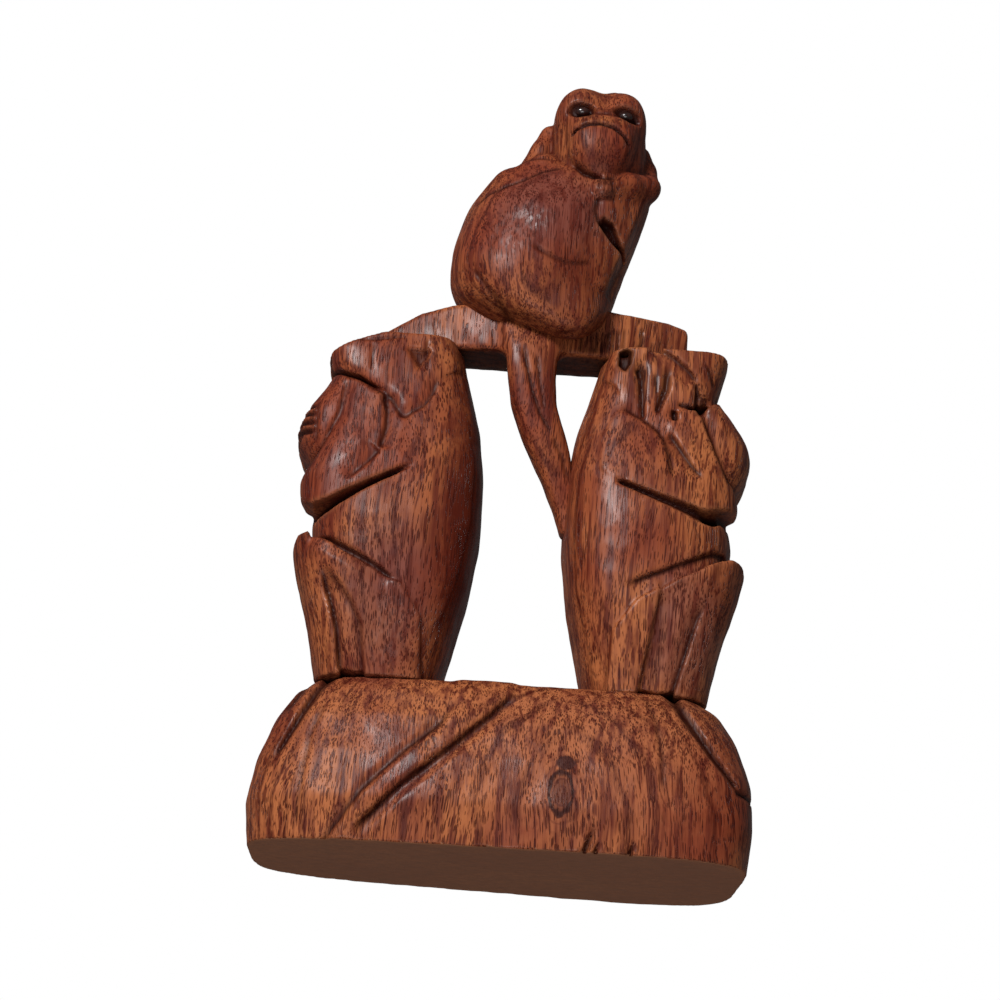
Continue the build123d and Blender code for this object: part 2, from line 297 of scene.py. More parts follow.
# %% Outlines and line maps
def view_axes(block, view):
    if view == "front":
        return block.x, block.z
    return block.y, block.z


def line_map(block, view, points):
    """Distance to a line of points, its side (1 on the left as drawn, else -1) and the share along it."""
    a, b = view_axes(block, view)
    best = np.full(np.broadcast(a, b).shape, 1e6, dtype=np.float32)
    side = np.ones_like(best)
    along = np.zeros_like(best)
    points = np.array(points, dtype=np.float32)
    lengths = np.hypot(*(points[1:] - points[:-1]).T)
    total = lengths.sum()
    start = 0.0
    for p, q, length in zip(points[:-1], points[1:], lengths):
        dx, dz = q - p
        t = np.clip(((a - p[0]) * dx + (b - p[1]) * dz) / max(length ** 2, 1e-6), 0, 1)
        gap = np.hypot(a - p[0] - t * dx, b - p[1] - t * dz)
        cross = dx * (b - p[1]) - dz * (a - p[0])
        closer = gap < best
        best = np.where(closer, gap, best)
        side = np.where(closer, np.where(cross > 0, 1.0, -1.0), side)
        along = np.where(closer, (start + t * length) / total, along)
        start += length
    return best, side, along


def outline(block, view, points):
    """Distance to a closed outline, negative inside."""
    a, b = view_axes(block, view)
    closed = list(points) + [points[0]]
    gap, _, _ = line_map(block, view, closed)
    inside = np.zeros(np.broadcast(a, b).shape, dtype=bool)
    for (x0, z0), (x1, z1) in zip(closed[:-1], closed[1:]):
        if z0 != z1:
            crosses = (z0 > b) != (z1 > b)
            inside ^= crosses & (a < (x1 - x0) * (b - z0) / (z1 - z0) + x0)
    return np.where(inside, -gap, gap)


def taper(along, ends):
    """Fades a cut in and out over the shares of its length that ends gives."""
    start, end = ends
    keep = np.ones_like(along)
    if start:
        keep = keep * ease(along / start)
    if end:
        keep = keep * ease((1 - along) / end)
    return keep


print("outlines ready")


# %% [markdown]
# ## Chisels
# Four cuts make all the detail: a V groove, a stop cut with one steep wall that runs out on its other
# side, a pocket inside an outline, and a round hollow. Each works through one view, where its weight
# allows it. The two crouching monkeys mirror one another, so a chisel can be held in the left hand.

# %% Chisels
STEEP_CELLS = 1.7
STAIN_AND_SHADE_LINE = 0.6


# Every cut also darkens the wood it opens, which stands for stain and painted shade.
class Chisel:
    """Cuts a block in one view. Points are (u, z), and side -1 turns u to the left."""

    def __init__(self, block, view, weight, side=1):
        self.block = block
        self.view = view
        self.weight = weight
        self.side = side

    def at(self, points):
        return [(self.side * u, z) for u, z in points]

    def groove(self, points, width, depth, ends=(0.15, 0.15), dark=1.0, width_end=None):
        gap, _, along = line_map(self.block, self.view, self.at(points))
        if width_end is not None:
            width = width + (width_end - width) * along
        cut = np.clip(1 - gap / width, 0, 1) * taper(along, ends) * self.weight
        self.block.sink(depth * cut, dark * np.clip(cut * 1.6, 0, 1))

    def stop_cut(self, points, reach, depth, slope=1, ends=(0.1, 0.1), dark=1.0):
        """The cut runs out over its reach on the line's left where slope is 1, and on its right at -1."""
        gap, line_side, along = line_map(self.block, self.view, self.at(points))
        keep = taper(along, ends) * self.weight
        sloped = np.clip(1 - gap / reach, 0, 1)
        steep = np.clip(1 - gap / (STEEP_CELLS * self.block.grid), 0, 1)
        run_out = np.where(line_side * slope * self.side > 0, sloped, steep)
        line = np.clip(1.3 - gap / STAIN_AND_SHADE_LINE, 0, 1) * np.clip(keep * 1.5, 0, 1)
        self.block.sink(depth * run_out * keep, dark * line)

    def pocket(self, points, depth, soft, level=0.6, dark=1.0, dark_level=0.6):
        """Sinks the inside of an outline, with a wall as wide as soft."""
        gap = outline(self.block, self.view, self.at(points)) / soft
        stain = dark * ease(dark_level - gap) * self.weight
        self.block.sink(depth * ease(level - gap) * self.weight, stain)

    def raise_panel(self, points, height, soft):
        inside = ease(0.5 - outline(self.block, self.view, self.at(points)) / soft)
        self.block.field -= height * inside * self.weight

    def hollow(self, centre, size, depth, lean=0.0, level=1.2, sharp=1.0, dark=1.6):
        """Sinks a round hollow of two radii, whose level line leans by a slope."""
        a, b = view_axes(self.block, self.view)
        across = (a - centre[0]) / size[0]
        up = (b - centre[1] - lean * (a - centre[0])) / size[1]
        cut = ease((level - np.sqrt(across ** 2 + up ** 2)) * sharp) * self.weight
        self.block.sink(depth * cut, np.clip(cut * dark, 0, 1))


print("chisels ready")


# %% [markdown]
# ## From a block to a mesh
# The zero surface becomes a mesh of four-sided faces: every grid cell that the surface passes through
# gets one corner, at the mean of its edge crossings, and every grid edge that crosses the surface gets
# one face. Unlike the triangles of a metaball, these faces are even and small.

# %% Surface of a block
def corner_places(block):
    """The corner of each cell that the surface passes through, and the cells' numbers."""
    field = block.field
    count = np.zeros([n - 1 for n in field.shape], dtype=np.uint8)
    total = [np.zeros(count.shape, dtype=np.float32) for _ in range(3)]
    first, second = slice(0, -1), slice(1, None)
    for axis in range(3):
        others = [a for a in range(3) if a != axis]
        for i in (0, 1):
            for j in (0, 1):
                near, far = [None] * 3, [None] * 3
                near[axis], far[axis] = first, second
                near[others[0]] = far[others[0]] = (first, second)[i]
                near[others[1]] = far[others[1]] = (first, second)[j]
                here, there = field[tuple(near)], field[tuple(far)]
                crossing = (here < 0) != (there < 0)
                t = np.where(crossing, here / np.where(crossing, here - there, 1), 0)
                count += crossing
                total[axis] += t
                total[others[0]] += crossing * i
                total[others[1]] += crossing * j
    active = count > 0
    index = np.full(count.shape, -1, dtype=np.int64)
    index[active] = np.arange(int(active.sum()))
    place = np.argwhere(active) + np.stack([t[active] / count[active] for t in total], axis=1)
    return block.low + place * block.grid, index


def faces(block, index):
    """Four corners round each grid edge that crosses the surface, turned to face outwards."""
    inside = block.field < 0
    quads = []
    for axis in range(3):
        others = [(axis + 1) % 3, (axis + 2) % 3]
        near = [slice(1, -1)] * 3
        far = [slice(1, -1)] * 3
        near[axis], far[axis] = slice(0, -1), slice(1, None)
        change = inside[tuple(near)] != inside[tuple(far)]
        cell = np.argwhere(change)
        cell[:, others] += 1
        outward = inside[tuple(near)][change]
        corners = []
        for du, dv in ((0, 0), (1, 0), (1, 1), (0, 1)):
            spot = cell.copy()
            spot[:, others[0]] -= du
            spot[:, others[1]] -= dv
            corners.append(index[spot[:, 0], spot[:, 1], spot[:, 2]])
        quad = np.stack(corners, axis=1)
        quad[~outward] = quad[~outward][:, ::-1]
        quads.append(quad)
    return np.concatenate(quads)


print("surface ready")


# %% [markdown]
# ## Hollows and worn edges
# Hollows are darker, from stain and from painted shade, and edges are rubbed paler. Blurring the field
# tells the two apart: in a hollow the mean distance round the surface is negative, because there is wood
# on most sides, and on an edge it is positive. The values are kept on the mesh's corners, where the
# finishes read them.

# %% Hollows, edges and the mesh
SMALL_BLUR, BROAD_BLUR = 1.3, 3.2


def sample(block, values, places):
    """Values of a grid at given places, mixed from the eight points round each."""
    spot = (places - block.low) / block.grid
    base = np.clip(np.floor(spot).astype(int), 0, np.array(values.shape) - 2)
    part = spot - base
    total = 0
    for i in (0, 1):
        for j in (0, 1):
            for k in (0, 1):
                weight = (part[:, 0] if i else 1 - part[:, 0]) * (part[:, 1] if j else 1 - part[:, 1])
                weight = weight * (part[:, 2] if k else 1 - part[:, 2])
                total = total + weight * values[base[:, 0] + i, base[:, 1] + j, base[:, 2] + k]
    return total


def blurred(block, radius):
    """Mean of the field over a cube that reaches a radius each way."""
    values, cells = block.field, max(1, int(round(radius / block.grid)))
    for axis in range(3):
        margin = [(cells + 1, cells) if a == axis else (0, 0) for a in range(3)]
        sums = np.cumsum(np.pad(values, margin, mode="edge"), axis=axis, dtype=np.float64)
        high = np.take(sums, range(2 * cells + 1, sums.shape[axis]), axis=axis)
        low = np.take(sums, range(0, sums.shape[axis] - 2 * cells - 1), axis=axis)
        values = ((high - low) / (2 * cells + 1)).astype(np.float32)
    return values


def carved_mesh(name, block):
    """Mesh object of a block's surface, with its stain and painted shade, hollows and worn edges."""
    places, index = corner_places(block)
    quads = faces(block, index)
    mesh = bpy.data.meshes.new(name)
    mesh.vertices.add(len(places))
    mesh.vertices.foreach_set("co", (places * MM).astype(np.float32).ravel())
    mesh.loops.add(quads.size)
    mesh.loops.foreach_set("vertex_index", quads.astype(np.int32).ravel())
    mesh.polygons.add(len(quads))
    mesh.polygons.foreach_set("loop_start", np.arange(0, quads.size, 4, dtype=np.int32))
    mesh.update(calc_edges=True)
    mesh.validate()
    small = sample(block, blurred(block, SMALL_BLUR), places)
    broad = sample(block, blurred(block, BROAD_BLUR), places)
    values = {
        "stain": np.clip(sample(block, block.stain, places), 0, 1),
        "hollow": np.clip(-small / 0.45, 0, 1) * 0.6 + np.clip(-broad / 1.2, 0, 1) * 0.4,
        "worn": np.clip(small / 0.6 - 0.25, 0, 1),
    }
    for key, value in values.items():
        mesh.attributes.new(key, "FLOAT", "POINT").data.foreach_set("value", value.astype(np.float32))
    piece = bpy.data.objects.new(name, mesh)
    bpy.context.collection.objects.link(piece)
    print(name, "corners", len(places), "faces", len(quads))
    return piece


# %% [markdown]
# ## The half log
# The log is rounded above and flat below, and its corners are soft from sanding, so it is a loft through
# the solid's own sections. The left monkey's tail is a low band down its front between two stop cuts.
# V cuts on both shoulders part the feet from the log, and its lower edge has lost a few chips.

# %% Sizes of the log
LOG_SECTIONS = [
    (0.0, -57.4, 57.8, -24.3, -31.0, 24.3, 32.6),
    (10.0, -58.8, 59.0, -25.6, -31.4, 25.6, 32.6),
    (20.3, -57.2, 58.6, -24.3, -29.8, 24.3, 30.8),
    (30.4, -53.8, 55.3, -22.2, -26.3, 22.2, 27.0),
    (37.3, -49.6, 51.0, -19.6, -22.8, 19.6, 23.4),
    (40.5, -45.0, 46.0, -17.3, -19.8, 17.3, 20.2),
]
TAIL_BAND = [(2.4, 48), (-11.8, 48), (-11.8, 32.8), (-15.3, 27.5), (-23.6, 19.8), (-31.9, 10.9), (-40, -4),
             (-36, -4), (-33, 1.2), (-22.7, 12.6), (-11.8, 22.3), (-3.5, 30.8), (1.8, 36)]
TAIL_RIGHT_EDGE = [(3, 38.5), (-3.5, 30.8), (-12, 22.4), (-22.7, 12.6), (-33, 1.2)]
TAIL_LEFT_EDGE = [(-10.5, 36), (-14.7, 28.2), (-23.2, 20.2), (-31.5, 11), (-38.6, 0.2)]
LEFT_FOOT_EDGE = [(-41, 40.5), (-43.8, 36.5), (-46.5, 30.5), (-49.5, 24), (-52.5, 17.4)]
RIGHT_FOOT_EDGE = [(38.5, 40.5), (41.5, 34.6), (47.5, 25.5), (54.5, 17)]
EDGE_CHIPS = ((19.4, 0.8, 5.6), (21.8, 0.6, 2.6), (29.4, 0.7, 2.8))
CHIP_DEPTH = 1.8
print("log", LOG_SECTIONS[1][2] - LOG_SECTIONS[1][1], "mm long,", LOG_SECTIONS[-1][0], "mm high")


# %% Carve the log
def chip_edge(block):
    """Breaks small chips, given by place, width and height, off the front's lower edge."""
    for x, width, height in EDGE_CHIPS:
        across = np.clip(1 - np.abs(block.x - x - 0.35 * block.z) / width, 0, 1)
        chip = across * np.clip(1.2 - block.z / height, 0, 1) * ease((-block.y - 25) / 3)
        block.sink(CHIP_DEPTH * chip, np.clip(chip * 2, 0, 1))


def carve_log():
    block = Block((-62, -36, -1.5), (62, 36, 46), LOG_GRID)
    block.add(lofted(block, LOG_SECTIONS, 4.5, cap=1.4, soften=1.5, capped=(False, True)), 0.5)
    front = ease((-block.y - 4) / 6)
    Chisel(block, "front", front * ease((44.5 - block.z) / 6)).raise_panel(TAIL_BAND, 0.7, soft=3.0)
    cut = Chisel(block, "front", front)
    cut.stop_cut(TAIL_RIGHT_EDGE, 2.6, 1.5, ends=(0.12, 0.12))
    cut.stop_cut(TAIL_LEFT_EDGE, 1.8, 0.7, slope=-1, ends=(0.3, 0.0))
    both = Chisel(block, "front", ease((np.abs(block.y) - 6) / 6))
    both.groove(LEFT_FOOT_EDGE, 1.7, 1.6, ends=(0, 0.2), dark=0.9, width_end=0.8)
    both.groove([(-46, 40), (-49, 34.5), (-52, 29)], 1.1, 0.8, ends=(0, 0.4), dark=0.8)
    both.groove(RIGHT_FOOT_EDGE, 2.1, 1.7, ends=(0, 0.1), dark=0.9, width_end=0.9)
    both.groove([(54, 17.2), (60, 16.6)], 0.9, 1.4, ends=(0, 0), dark=0.8)
    cut.groove([(31.5, 40), (34.5, 33), (36, 24), (36.4, 14)], 0.7, 0.3, dark=0.6)
    cut.groove([(-41, 34), (-44, 25), (-45, 14), (-45.4, 2)], 0.7, 0.3, dark=0.5)
    chip_edge(block)
    block.field = np.maximum(block.field, -block.z)
    return block


log_block = carve_log()
log_piece = carved_mesh("carved_log", log_block)


# %% [markdown]
# ## The crouching monkeys
# The two figures are alike and turned away from one another, so their sizes are written once, with u
# running outwards from the middle of the ornament. A section row holds height, back u, front u and half
# depth. The outlines are the carver's front view: a limb is only there where its outline allows it.

# %% Sections of the crouching monkeys
TORSO_SECTIONS = [(40.5, 17.6, 45.2, 17.4), (51.3, 15.2, 46.4, 19.3), (65.7, 12.0, 49.6, 20.9),
                  (81.0, 10.0, 51.6, 21.5), (96.3, 10.1, 48.5, 20.6), (108.9, 11.8, 44.6, 18.6),
                  (119.7, 14.8, 41.3, 16.9), (128.5, 17.1, 39.6, 15.4)]
LEFT_SECTIONS = {
    "legs": [(40.5, 16.6, 47.2, 18.2), (54.0, 14.6, 50.2, 20.4), (67.5, 11.8, 54.4, 21.9),
             (77.4, 10.1, 56.4, 22.2), (86.0, 10.1, 56.0, 21.9)],
    "arms": [(78.0, 10.6, 53.6, 21.4), (85.0, 10.6, 54.8, 21.2), (91.5, 10.6, 55.4, 20.7),
             (96.5, 10.8, 54.6, 20.0), (104.0, 12.0, 51.8, 18.9), (118.0, 14.0, 49.0, 17.2)],
    "muzzle": [(93.0, 30.0, 51.0, 14.0), (96.4, 30.0, 54.0, 15.6), (99.7, 30.0, 56.4, 16.6),
               (103.8, 30.0, 57.6, 17.0), (107.5, 30.0, 57.0, 17.0), (110.6, 30.0, 55.4, 16.8),
               (114.0, 30.0, 52.8, 16.4), (118.5, 30.0, 50.4, 16.0), (124.0, 30.0, 49.0, 15.6)],
    "head": [(103.0, 14.6, 46.0, 17.0), (113.0, 15.4, 48.0, 17.2), (119.5, 16.0, 49.8, 17.2),
             (125.1, 17.4, 51.4, 16.8), (130.5, 19.0, 50.4, 16.0)],
}
RIGHT_SECTIONS = {
    "legs": [(40.5, 16.6, 46.4, 18.2), (54.0, 14.6, 49.2, 20.4), (67.5, 11.8, 53.4, 21.9),
             (77.4, 10.1, 55.6, 22.2), (86.0, 10.1, 55.0, 21.9)],
    "arms": [(78.0, 10.6, 52.0, 21.4), (88.0, 10.6, 52.6, 21.2), (96.5, 10.8, 52.6, 20.2),
             (104.0, 12.0, 51.0, 19.2), (118.0, 14.0, 47.5, 17.4)],
    "muzzle": [(90.4, 30.0, 47.5, 13.6), (92.6, 30.0, 50.4, 14.8), (95.4, 30.0, 52.8, 15.8),
               (98.6, 30.0, 54.6, 16.4), (102.4, 30.0, 55.8, 16.8), (106.4, 30.0, 55.8, 16.8),
               (110.2, 30.0, 54.0, 16.8), (114.0, 30.0, 51.4, 16.6), (117.5, 30.0, 48.2, 16.4),
               (122.5, 30.0, 46.4, 16.0)],
    "head": [(103.0, 14.6, 44.0, 17.2), (113.0, 15.4, 45.6, 17.4), (119.5, 16.2, 46.4, 17.4),
             (126.0, 17.4, 48.4, 17.2), (130.5, 19.0, 49.6, 17.0)],
}
print("crouching monkeys", TORSO_SECTIONS[-1][0] - TORSO_SECTIONS[0][0], "mm from seat to crown")

# %% Outlines of the crouching monkeys
LEG_OUTLINE = [(55.4, 70.0), (55.2, 73.0), (53.8, 74.9), (51.0, 75.1), (47.8, 74.5), (44.5, 72.8),
               (41.6, 70.6), (34.7, 67.0), (27.7, 62.6), (22.4, 54.9), (21.3, 38), (61.6, 38), (61.6, 60.0)]
LEFT_OUTLINES = {
    "arm": [(50.2, 82.0), (53.0, 83.4), (54.6, 86.0), (55.3, 90.0), (53.6, 91.5), (50.0, 98.2),
            (46.6, 107.0), (45.6, 122), (36.0, 122), (35.2, 111.0), (34.6, 106.5), (34.7, 102.2),
            (35.8, 97.0), (28.0, 102.8), (21, 101.0), (21, 95.6), (26.8, 93.4), (36.8, 88.0),
            (45.0, 83.6)],
    "head": [(54.3, 120.0), (48.4, 119.4), (45.0, 118.0), (42.2, 117.0), (37.2, 114.0), (34.4, 112.6),
             (33.0, 110.4), (30.9, 106.2), (28.4, 108.3), (25.8, 110.2), (22.4, 117.9), (16.8, 122.4),
             (5, 122.4), (5, 148), (56, 148)],
}
RIGHT_OUTLINES = {
    "arm": [(43.6, 85.4), (48.0, 86.2), (52.0, 88.6), (53.4, 91.4), (51.0, 93.4), (46.6, 102.6),
            (43.4, 111.8), (41.0, 116), (36.5, 115), (33.8, 109), (32.4, 105.4), (30.4, 107.8),
            (27, 110.2), (21.4, 112), (17.5, 105), (17.5, 96), (22.0, 92.6), (27.7, 90.3), (34, 88.1)],
    "head": [(54.3, 119.0), (47.0, 118.3), (44.5, 116), (40.5, 114.2), (37, 113.4), (33, 110.3), (29, 111.2),
             (24, 112.6), (20.5, 118.9), (16.8, 122.4), (5, 122.4), (5, 148), (54, 148)],
}
FAR_ARM_REACH = 50.8
LIMB_GAP = 10.0
CROWN_HEIGHT = 130.4
CROWN_BREAK = 37
LEFT_SHIFT, RIGHT_SHIFT = -1.2, 1.6
print("far elbows reach", FAR_ARM_REACH, "mm, limbs stand", LIMB_GAP, "mm apart")


# %% [markdown]
# ## Rough out a crouching monkey
# Torso and muzzle come first. Legs and arms are cut to their outlines and split down the middle, so that
# each has a near and a far one, and both stop at the line of the head. The crown is planed off level, or
# with a slope towards the brow. The far elbow is shorter, because daylight shows past it.

# %% Rough out a crouching monkey
def crouching_block(side, shift, sections, outlines, crown_slope):
    reach = sorted((side * 4.0, side * 61.0))
    block = Block((reach[0], -25, 38.6), (reach[1], 25, 133), FIGURE_GRID)
    u = side * block.x - shift

    def member(rows, square, **ends):
        table = []
        for z, back, front, half in rows:
            low, high = sorted((side * (back + shift), side * (front + shift)))
            table.append((z, low, high, -half, half))
        return lofted(block, table, square, **ends)

    def drawn(points):
        return outline(block, "front", [(side * (out + shift), z) for out, z in points])

    head_line = drawn(outlines["head"])
    torso = member(TORSO_SECTIONS, 3.0, cap=0.5)
    muzzle = member(sections["muzzle"], 3.2)
    legs = member(sections["legs"], 3.4, cap=0.3, capped=(True, False))
    arms = member(sections["arms"], 4.0, capped=(False, False))
    past_elbow = np.where(block.y > 0, u - FAR_ARM_REACH, -FAR)
    arms = soft_max(arms, past_elbow.astype(np.float32), 2.0)
    block.add(torso, 0.5)
    block.add(soft_max(muzzle, -head_line, 0.6), 0.6)
    apart = LIMB_GAP / 2 - np.abs(block.y)
    for form, points in ((legs, LEG_OUTLINE), (arms, outlines["arm"])):
        limb = soft_max(soft_max(form, drawn(points), 0.7), apart, 3.0)
        block.add(soft_max(limb, -head_line, 0.5), 0.4)
    skull = member(sections["head"], 5.0, cap=0.8, soften=0.8, capped=(False, True))
    crown = block.z - CROWN_HEIGHT + crown_slope * np.clip(u - CROWN_BREAK, 0, None)
    crown = crown / math.sqrt(1 + crown_slope ** 2)
    block.add(soft_max(soft_max(skull, head_line, 0.4), crown, 0.5), 0.4)
    return block


print("crowns are planed off at", CROWN_HEIGHT, "mm")


# %% [markdown]
# ## Cuts that both crouching monkeys have
# The thigh is a shallow stop cut, and two more run down the leg to make shin and calf. A wide groove on
# the outward side splits the shins, and each face has a pair of eye hollows.

# %% Cuts that both crouching monkeys have
SOCKET_RADII, SOCKET_DEPTH = (3.6, 1.9), 2.2


def face_planes(block):
    """Weight of the near and the far face."""
    return ease((np.abs(block.y) - 5) / 5)


def carve_legs(cut, thigh, shin, calf, thigh_depth):
    cut.stop_cut(thigh, 4.0, thigh_depth, ends=(0.05, 0.2))
    cut.stop_cut(shin, 3.4, 1.3, slope=-1, ends=(0.25, 0.0), dark=0.9)
    cut.stop_cut(calf, 6.5, 1.1, ends=(0.25, 0.0), dark=0.5)
    split = Chisel(cut.block, "side", ease((cut.side * cut.block.x - 36) / 5))
    split.groove([(0, 79), (0, 41)], 4.2, 2.4, ends=(0.1, 0.0), dark=0.8, width_end=3.0)


def carve_sockets(cut, y, z):
    for centre in ((-y, z), (y, z)):
        cut.hollow(centre, SOCKET_RADII, SOCKET_DEPTH)


print("eye hollows", SOCKET_DEPTH, "mm deep")


# %% [markdown]
# ## The left monkey
# Its forearm crosses the chest up to the chin, with a deep slit below it. Four finger lines run round
# the muzzle from the front to the back, and the brow is one bent groove over the eyes.

# %% Carve the left monkey
LEFT_THIGH = [(50, 74.6), (44.8, 73.6), (40.6, 71.0), (33.7, 67.2), (30.7, 65.2), (27.1, 62.4)]
LEFT_SHIN = [(46.2, 67.0), (44.6, 62.5), (43.1, 58.5), (40.9, 51.9), (39.2, 42)]
LEFT_CALF = [(46.2, 67.0), (41.2, 61.8), (37.8, 56.9), (35.4, 52.2), (33.8, 41)]
LEFT_ARM_SLIT = [(52.0, 80.4), (49.2, 80.9), (45.6, 82.0), (36.0, 87.6), (25.4, 93.6)]
LEFT_CHEEK = [(48.5, 119.6), (46.4, 119.0), (43.5, 117.2), (41.0, 116.4), (37.4, 113.8), (33.2, 111.8),
              (31.5, 109.2), (29.6, 105.4)]
LEFT_NAPE = [(29.6, 105.4), (27.4, 107.7), (24.6, 109.6), (22.6, 114), (21.7, 119.1)]
FINGER_LINES = (109.8, 107.5, 105.1, 102.8)
FINGER_LINES_ROUND = (108.6, 106.0, 103.4, 101.0)


def carve_left_face(block):
    """Fingers, mouth, eyes and brow on the side that looks outwards."""
    outer = Chisel(block, "side", ease((-block.x - 46) / 3))
    for z in FINGER_LINES_ROUND:
        outer.groove([(-12, z + 1.2), (-5, z), (5, z), (12, z + 1.2)], 0.62, 0.7, ends=(0.02, 0.02), dark=0.9)
    outer.groove([(0, 118), (0, 97)], 0.8, 0.8, dark=0.9)
    brow = Chisel(block, "side", ease((-block.x - 42) / 3))
    carve_sockets(brow, 7.5, 119.6)
    brow.groove([(-13, 123.5), (-5, 123), (0, 121.6), (5, 123), (13, 123.5)], 0.9, 0.9, dark=0.7)


def carve_left():
    block = crouching_block(-1, LEFT_SHIFT, LEFT_SECTIONS, LEFT_OUTLINES, 0.42)
    both = face_planes(block)
    cut = Chisel(block, "front", both, side=-1)
    carve_legs(cut, LEFT_THIGH, LEFT_SHIN, LEFT_CALF, 1.2)
    # The slit's dark is painted shade under the overhanging forearm.
    cut.groove(LEFT_ARM_SLIT, 1.5, 3.4, ends=(0.0, 0.25), width_end=0.6)
    cut.stop_cut([(42.3, 87.6), (38, 92.0), (34.4, 96.6)], 5.0, 0.9, slope=-1, ends=(0.3, 0.05), dark=0.7)
    cut.stop_cut([(34.6, 112.6), (33.5, 107.5), (33.4, 102.8), (34.5, 96.4)], 3.4, 0.9, slope=-1, dark=0.9)
    cut.stop_cut([(52.0, 90.5), (48.8, 97.8), (45.4, 106.6), (44.2, 116.5)], 3.0, 0.45,
                 ends=(0.15, 0.1), dark=0.6)
    cut.stop_cut(LEFT_CHEEK, 2.6, 0.6, slope=-1, ends=(0.05, 0.05), dark=0.9)
    cut.stop_cut(LEFT_NAPE, 3.0, 0.7, slope=-1, ends=(0.05, 0.3), dark=0.8)
    cut.pocket([(29.6, 125.2), (26.6, 120.4), (24.4, 125.2)], 1.2, 1.6, dark=0.55)
    cut.groove([(30.5, 129.0), (36.0, 127.9), (42.5, 127.2)], 0.6, 0.5, dark=0.6)
    cut.groove([(25.2, 129), (24.9, 119)], 0.7, 0.5, dark=0.5)
    cut.groove([(38.9, 127.5), (38.2, 118.5)], 0.6, 0.35, dark=0.4)
    for z in FINGER_LINES:
        cut.groove([(58.5, z + 0.6), (54.6, z + 0.3), (50.8, z - 0.9)], 0.9, 1.1, ends=(0.0, 0.15))
    mouth = Chisel(block, "front", both * ease((9.5 - np.abs(block.z - 106)) / 2), side=-1)
    mouth.groove([(50.8, 111), (50.8, 106), (50.2, 99)], 0.6, 0.5, dark=0.6)
    carve_left_face(block)
    return block


left_block = carve_left()
left_piece = carved_mesh("carved_left_monkey", left_block)


# %% [markdown]
# ## The right monkey
# Its forearm is broader and its slit ends in a thin line. Long cuts down the side of the head draw the
# hair round the ear, which is a hole darkened with painted shade, and the mouth and nostrils look outwards.

# %% Carve the right monkey
RIGHT_THIGH = [(51, 77.2), (47.2, 76.2), (41.9, 73.2), (34.8, 69.8), (31, 68.2), (25.6, 65.5)]
RIGHT_SHIN = [(46.2, 63.7), (43.8, 59.1), (42.4, 54.2), (40.3, 46.8), (38.6, 40.5)]
RIGHT_CALF = [(35.3, 69.0), (34.9, 62.6), (33.8, 56.9), (32.6, 49.8), (31.0, 41)]
RIGHT_ARM_SLIT = [(22.8, 93.0), (29.0, 90.6), (35.6, 88.2), (44.4, 85.0), (46.8, 84.8)]
RIGHT_SLEEVE = [(23.2, 113.3), (28.7, 110.2), (32.2, 107.6), (34.3, 105.0), (35.7, 100.6), (36.7, 93.6)]
RIGHT_BROW = [(31.0, 131.0), (36.5, 127.6), (40.6, 124.0), (42.4, 121.0)]
HAIR_CUTS = (
    ([(27.4, 124), (28.2, 121.5)], 1.0, 0.8),
    ([(32.0, 123), (32.4, 117)], 0.5, 0.4),
    ([(42.0, 121.4), (42.6, 118.5), (42.2, 113.9)], 0.8, 1.0),
    ([(37.6, 115.0), (42.2, 114.3)], 0.7, 0.9),
    ([(36.7, 113.4), (37.2, 110.2)], 1.0, 1.6),
    ([(44.6, 126.4), (46.8, 121.0)], 0.6, 0.4),
)
EAR_HOLE = [(23.0, 128.8), (24.4, 129.6), (25.8, 128.8), (25.6, 125.6), (24.4, 123.4), (22.9, 125.0)]
JAW_RECESS = [(42.4, 118.6), (45.4, 117.4), (44.6, 113.2), (42.6, 112.6)]


def carve_right_face(block):
    """Mouth, nostrils and eyes on the side that looks outwards."""
    outer = Chisel(block, "side", ease((block.x - 49) / 3))
    outer.groove([(-6, 101.2), (0, 102.3), (6, 101.2)], 0.8, 0.9, dark=0.9)
    for y in (-2.4, 2.4):
        outer.groove([(y, 110.6), (y * 1.3, 109.4)], 0.8, 0.9, ends=(0.0, 0.0), dark=0.9)
    carve_sockets(Chisel(block, "side", ease((block.x - 43) / 3)), 7.0, 119.8)


def carve_right():
    block = crouching_block(1, RIGHT_SHIFT, RIGHT_SECTIONS, RIGHT_OUTLINES, 0.0)
    cut = Chisel(block, "front", face_planes(block))
    carve_legs(cut, RIGHT_THIGH, RIGHT_SHIN, RIGHT_CALF, 1.0)
    cut.groove(RIGHT_ARM_SLIT, 0.7, 2.4, ends=(0.1, 0.0), width_end=2.0)
    cut.groove([(45.5, 84.8), (49.0, 86.0), (54.0, 86.6)], 1.7, 2.4, ends=(0.0, 0.0))
    cut.stop_cut(RIGHT_SLEEVE, 4.0, 0.8, ends=(0.15, 0.15), dark=0.8)
    cut.stop_cut([(51.6, 93.6), (47.5, 102.6), (44.6, 110.5), (43.0, 114.4)], 4.0, 0.8, slope=-1,
                 ends=(0.15, 0.1), dark=0.7)
    cut.stop_cut([(44.5, 94.1), (41.0, 98.4), (37.4, 104.2), (35.6, 106.6)], 2.6, 0.9,
                 ends=(0.25, 0.1), dark=0.9)
    cut.stop_cut(RIGHT_BROW, 4.5, 1.0, slope=-1, ends=(0.05, 0.15), dark=0.8)
    cut.groove([(28.0, 127.5), (28.6, 119), (29.2, 111.0)], 2.3, 1.3,
               ends=(0.3, 0.0), dark=0.8, width_end=0.7)
    cut.groove([(35.2, 126), (34.6, 119), (32.4, 111.6)], 1.7, 1.3, ends=(0.3, 0.1), dark=0.8, width_end=0.9)
    for points, width, depth in HAIR_CUTS:
        cut.groove(points, width, depth)
    # The ear hole is darkened with painted shade.
    cut.pocket(EAR_HOLE, 2.0, 1.0, level=0.5, dark_level=1.0)
    cut.pocket(JAW_RECESS, 0.9, 1.6, dark=0.7)
    carve_right_face(block)
    return block


